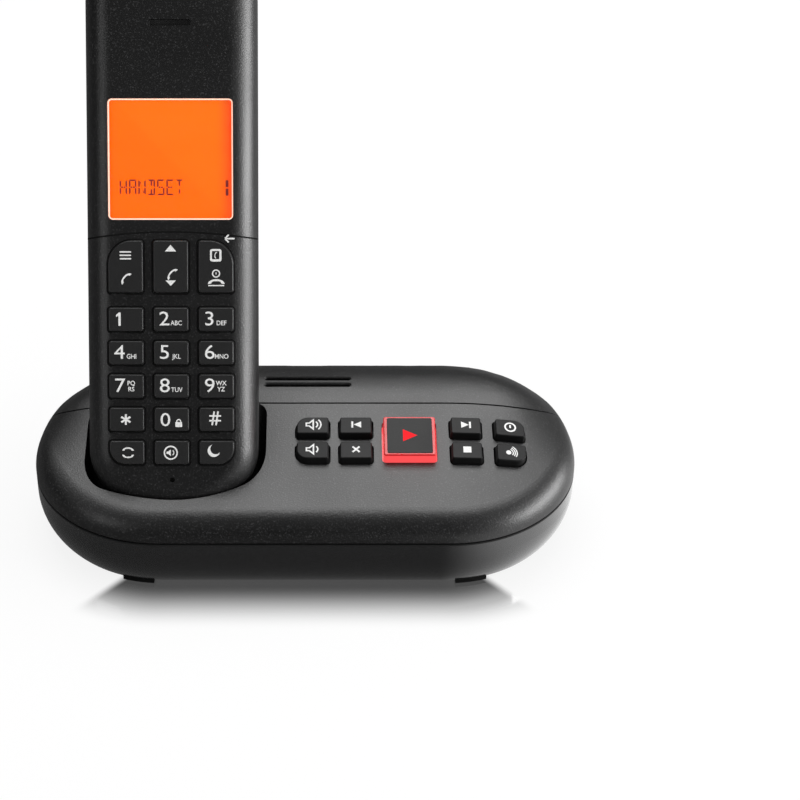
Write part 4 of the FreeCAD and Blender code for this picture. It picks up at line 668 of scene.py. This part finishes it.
GAP_SHADE_NEAR, GAP_SHADE_FAR = 0.16, 0.52      # edges of the band of painted shade in a gap, from the key's wall
GAP_SHADE_SHIFT = (-0.07, -0.12)          # its far edge lies further out below and on the left, where the painted shadow falls wider
SEAM_TOP, SEAM_RADIUS = 75.0, 145.0
SEAM_HALF_WIDTH, SEAM_HALF_LENGTH, SEAM_STEP = 0.23, 24.0, 0.25
PHONE_KEYS = ["key_%d" % digit for digit in range(10)] + [
    "hash_key", "star_key", "night_key", "speaker_key", "intercom_key", "left_key", "rocker_key",
    "right_key"]
# black bands in the rubber finish: painted shade in the gaps round the keys
painted_gap_shade = [band("gap", grown(outline, GAP_SHADE_NEAR), grown(outline, GAP_SHADE_FAR, *GAP_SHADE_SHIFT), True)
             for outline in map(key_outline, PHONE_KEYS)]
seam_steps = round(SEAM_HALF_LENGTH / SEAM_STEP)
seam_places = [index * SEAM_STEP for index in range(-seam_steps, seam_steps + 1)]
seam = [(x, SEAM_TOP - SEAM_RADIUS + math.sqrt(SEAM_RADIUS ** 2 - x ** 2)) for x in seam_places]
# the band along the display's seam is painted shade in the seam's gap
painted_gap_shade.append(band("seam", [(x, y + SEAM_HALF_WIDTH) for x, y in seam],
                      [(x, y - SEAM_HALF_WIDTH) for x, y in seam], False))
piece("painted_shade_of_the_face_gaps", painted_gap_shade, "handset", rubber)

# an arrow from short bars, so that it follows the face where this rounds off
ARROW_X, ARROW_Y, ARROW_WIDTH = 16.55, 73.15, 0.44
arrow_groups = [bar(x, 0.0, x + 0.5, 0.0, ARROW_WIDTH) for x in (-1.2, -0.7, -0.2, 0.3, 0.8)]
for side in (-1, 1):
    for near, far in ((0, 1 / 3), (1 / 3, 2 / 3), (2 / 3, 1)):
        arrow_groups.append(bar(-1.33 + near, side * (0.05 + near), -1.33 + far,
                                side * (0.05 + far), ARROW_WIDTH))
arrow = [flat_mesh("arrow", moved(loops, ARROW_X, ARROW_Y), handset_face, thick=0.05)
         for loops in arrow_groups]
for mesh in arrow:
    for vertex in mesh.vertices:
        vertex.co = on_face(*(from_face @ vertex.co / MM))
piece("face_arrow", arrow, "handset", white_ink)

# ------------------------------------------------------------------ display, in mm
SEGMENT_LETTERS = {"H": "bcefgh", "A": "abcefgh", "N": "bcefkn", "D": "abcdjm", "S": "acdfgh",
                   "E": "adefgh", "T": "ajm"}
TEXT_PITCH, TEXT_LAST, TEXT_Y = 2.62, 2.43, 87.45   # pitch, and the middle of the last character
BORDER_HALF_WIDTH, BORDER_HALF_HEIGHT, BORDER_LINE = 17.5, 16.85, 0.4


def segments(character, x, y):
    """A character of a sixteen-part display: a to f round it, g and h across, j to n inside."""
    w, h, t = 1.05, 2.2, 0.46
    parts = {
        "a": [[(-w, h), (w, h), (w - t, h - t), (-w + t, h - t)]],
        "d": [[(-w + t, -h + t), (w - t, -h + t), (w, -h), (-w, -h)]],
        "g": rectangle(-w + t, -t / 2, -0.1, t / 2), "h": rectangle(0.1, -t / 2, w - t, t / 2),
        "b": [[(w, h - 0.15), (w, 0.12), (w - t / 2, 0.12), (w - t, 0.35), (w - t, h - t - 0.1)]],
        "f": [[(-w, h - 0.15), (-w + t, h - t - 0.1), (-w + t, 0.35), (-w + t / 2, 0.12),
               (-w, 0.12)]],
        "c": [[(w, -h + 0.15), (w, -0.12), (w - t / 2, -0.12), (w - t, -0.35),
               (w - t, -h + t + 0.1)]],
        "e": [[(-w, -h + 0.15), (-w + t, -h + t + 0.1), (-w + t, -0.35), (-w + t / 2, -0.12),
               (-w, -0.12)]],
        "j": rectangle(-t / 2, 0.45, t / 2, h - t - 0.02),
        "m": rectangle(-t / 2, -h + t, t / 2, -0.55),
        "k": [[(-w + t + 0.05, h - t - 0.15), (-w + t + 0.3, h - t - 0.15), (-0.25, 0.35),
               (-0.25, 0.2)]],
        "n": [[(w - t - 0.05, -h + t + 0.15), (w - t - 0.3, -h + t + 0.15), (0.25, -0.35),
               (0.25, -0.2)]],
    }
    return [moved(parts[part], x, y) for part in SEGMENT_LETTERS[character]]


glass_top = top_face("display_module", handset_axes())
to_face = top_face("display_window", handset_axes()).inverted() @ handset_face
face_x, face_y = to_face.translation.x / MM, to_face.translation.y / MM
word = "HANDSET"
text = []
for index, character in enumerate(word):
    text += segments(character, face_x + TEXT_LAST + (index + 1 - len(word)) * TEXT_PITCH,
                     face_y + TEXT_Y)
# the figure 1 at the right edge
text += [moved(rectangle(-0.4, low, 0.4, low + 1.95), face_x + 15.75, face_y + 87.3)
         for low in (-2.15, 0.2)]
piece("display_text", [flat_mesh("text", loops, glass_top, 0.04) for loops in text], "handset",
      segment_ink)
w, h = BORDER_HALF_WIDTH, BORDER_HALF_HEIGHT
border = rounded(-w, -h, w, h, 1.1) + rounded(-w + BORDER_LINE, -h + BORDER_LINE, w - BORDER_LINE,
                                              h - BORDER_LINE, 0.8)
piece("display_border", [flat_mesh("border", border, glass_top, 0.05)], "handset", border_light)

# ------------------------------------------------------------------ floor and backdrop
FLOOR_HALF = 8.0                    # in metres, as all that follows
SPINE_HALF, SPINE_Y = 0.04105, -0.01507     # the base is round about this line's ends


def stage_floor():
    """A white floor that takes the shadow and, close to the base's front, mirrors it."""
    mesh = bpy.data.meshes.new("floor")
    mesh.from_pydata([(x, y, 0) for x, y in rectangle(-FLOOR_HALF, -FLOOR_HALF, FLOOR_HALF,
                                                      FLOOR_HALF)[0]], [], [(0, 1, 2, 3)])
    made = bpy.data.objects.new("floor", mesh)
    bpy.context.scene.collection.objects.link(made)
    material = bpy.data.materials.new("floor_white")
    material.use_nodes = True
    material.node_tree.nodes.clear()
    graph = Graph(material.node_tree)
    path = graph.node("ShaderNodeLightPath").outputs
    place = graph.parts(graph.place())
    # how far a point lies past the spine's end, and from the spine
    past = graph.maths("MAXIMUM", graph.maths("SUBTRACT", graph.maths("ABSOLUTE", place["X"]),
                                              SPINE_HALF), 0.0)
    ahead = graph.maths("SUBTRACT", place["Y"], SPINE_Y)
    reach = graph.maths("SQRT", graph.maths("ADD", graph.product(past, past),
                                            graph.product(ahead, ahead)))
    # the mirror: in front only, and not past a line that runs outwards from each end
    line = graph.maths("MULTIPLY_ADD", reach, 0.72, -0.0136)
    ends = graph.product(graph.span(graph.maths("SUBTRACT", past, line), 0.0022, -0.0012),
                         graph.span(place["Y"], -0.015, -0.04))
    mirroring = graph.product(graph.span(reach, 0.0355, 0.054, 0.93, 0.0), ends)
    white = graph.node("ShaderNodeEmission", {"Color": WHITE, "Strength": 1.0}).outputs[0]
    matt = graph.node("ShaderNodeBsdfDiffuse", {"Color": (0.95, 0.95, 0.95, 1.0)}).outputs[0]
    mirror = graph.node("ShaderNodeBsdfGlossy", {"Color": WHITE, "Roughness": 0.06}).outputs[0]
    # the share that takes the shadow fades out with the distance
    ground = graph.blend(graph.span(reach, 0.3, 1.5, 0.15, 0.0), white, matt)
    seen = graph.blend(mirroring, ground, mirror)
    # what the object mirrors: dim in front, bright on the right
    right = graph.product(graph.span(place["X"], 0.03, 0.08),
                          graph.span(place["Y"], 0.07, 0.01, 0.35, 1.0))
    front = graph.span(reach, 0.034, 0.09, 0.09, 0.12)
    mirrored = graph.node("ShaderNodeEmission", {
        "Color": WHITE, "Strength": graph.maths("MAXIMUM", right, front)}).outputs[0]
    bounced = graph.blend(path["Is Glossy Ray"], matt, mirrored)
    clear = graph.blend(path["Is Transmission Ray"], bounced, white)
    graph.node("ShaderNodeOutputMaterial", {
        "Surface": graph.blend(path["Is Camera Ray"], clear, seen)})
    mesh.materials.append(material)


stage_floor()


def studio_world():
    """White to the camera; round the object a pale backdrop behind and dark flags in front."""
    world = bpy.data.worlds.new("studio")
    bpy.context.scene.world = world
    world.use_nodes = True
    world.node_tree.nodes.clear()
    graph = Graph(world.node_tree)
    path = graph.node("ShaderNodeLightPath").outputs
    way = graph.parts(graph.node("ShaderNodeTexCoord").outputs["Generated"])

    def background(strength):
        return graph.node("ShaderNodeBackground", {"Color": WHITE,
                                                   "Strength": strength}).outputs[0]

    backdrop = graph.product(graph.span(way["Y"], 0.1, 0.6), graph.span(way["Z"], 0.38, 0.6))
    side = graph.product(graph.span(way["X"], 0.2, 0.9), graph.span(way["Z"], -0.1, 0.3))
    room = graph.maths("MINIMUM", graph.span(way["Z"], 0.25, 0.75, 0.02, 0.45),
                       graph.span(way["Y"], -0.5, 0.15, 0.1, 0.45))
    level = graph.maths("MAXIMUM", graph.maths("MAXIMUM", backdrop, room),
                        graph.product(side, 0.5))
    lit = graph.blend(path["Is Glossy Ray"], background(0.45), background(level))
    seen = graph.maths("MAXIMUM", path["Is Camera Ray"], path["Is Transmission Ray"])
    graph.node("ShaderNodeOutputWorld", {"Surface": graph.blend(seen, lit, background(1.0))})


studio_world()


def soft_light(name, place, aim, width, height, watts):
    data = bpy.data.lights.new(name, "AREA")
    data.shape, data.size, data.size_y, data.energy = "RECTANGLE", width, height, watts
    lamp = bpy.data.objects.new(name, data)
    lamp.location = place
    lamp.rotation_euler = (Vector(aim) - Vector(place)).to_track_quat("-Z", "Y").to_euler()
    bpy.context.scene.collection.objects.link(lamp)


soft_light("overhead_soft_light", (0.0, 0.35, 1.02), (0.0, 0.0, 0.03), 1.0, 0.7, 7.0)
soft_light("right_soft_light", (1.0, -0.12, 0.21), (0.0, 0.0, 0.05), 0.9, 0.36, 10.0)
soft_light("front_fill_light", (-0.95, -0.75, 0.5), (0.0, 0.0, 0.06), 0.5, 0.5, 1.2)

bpy.context.scene.view_settings.view_transform = "Standard"
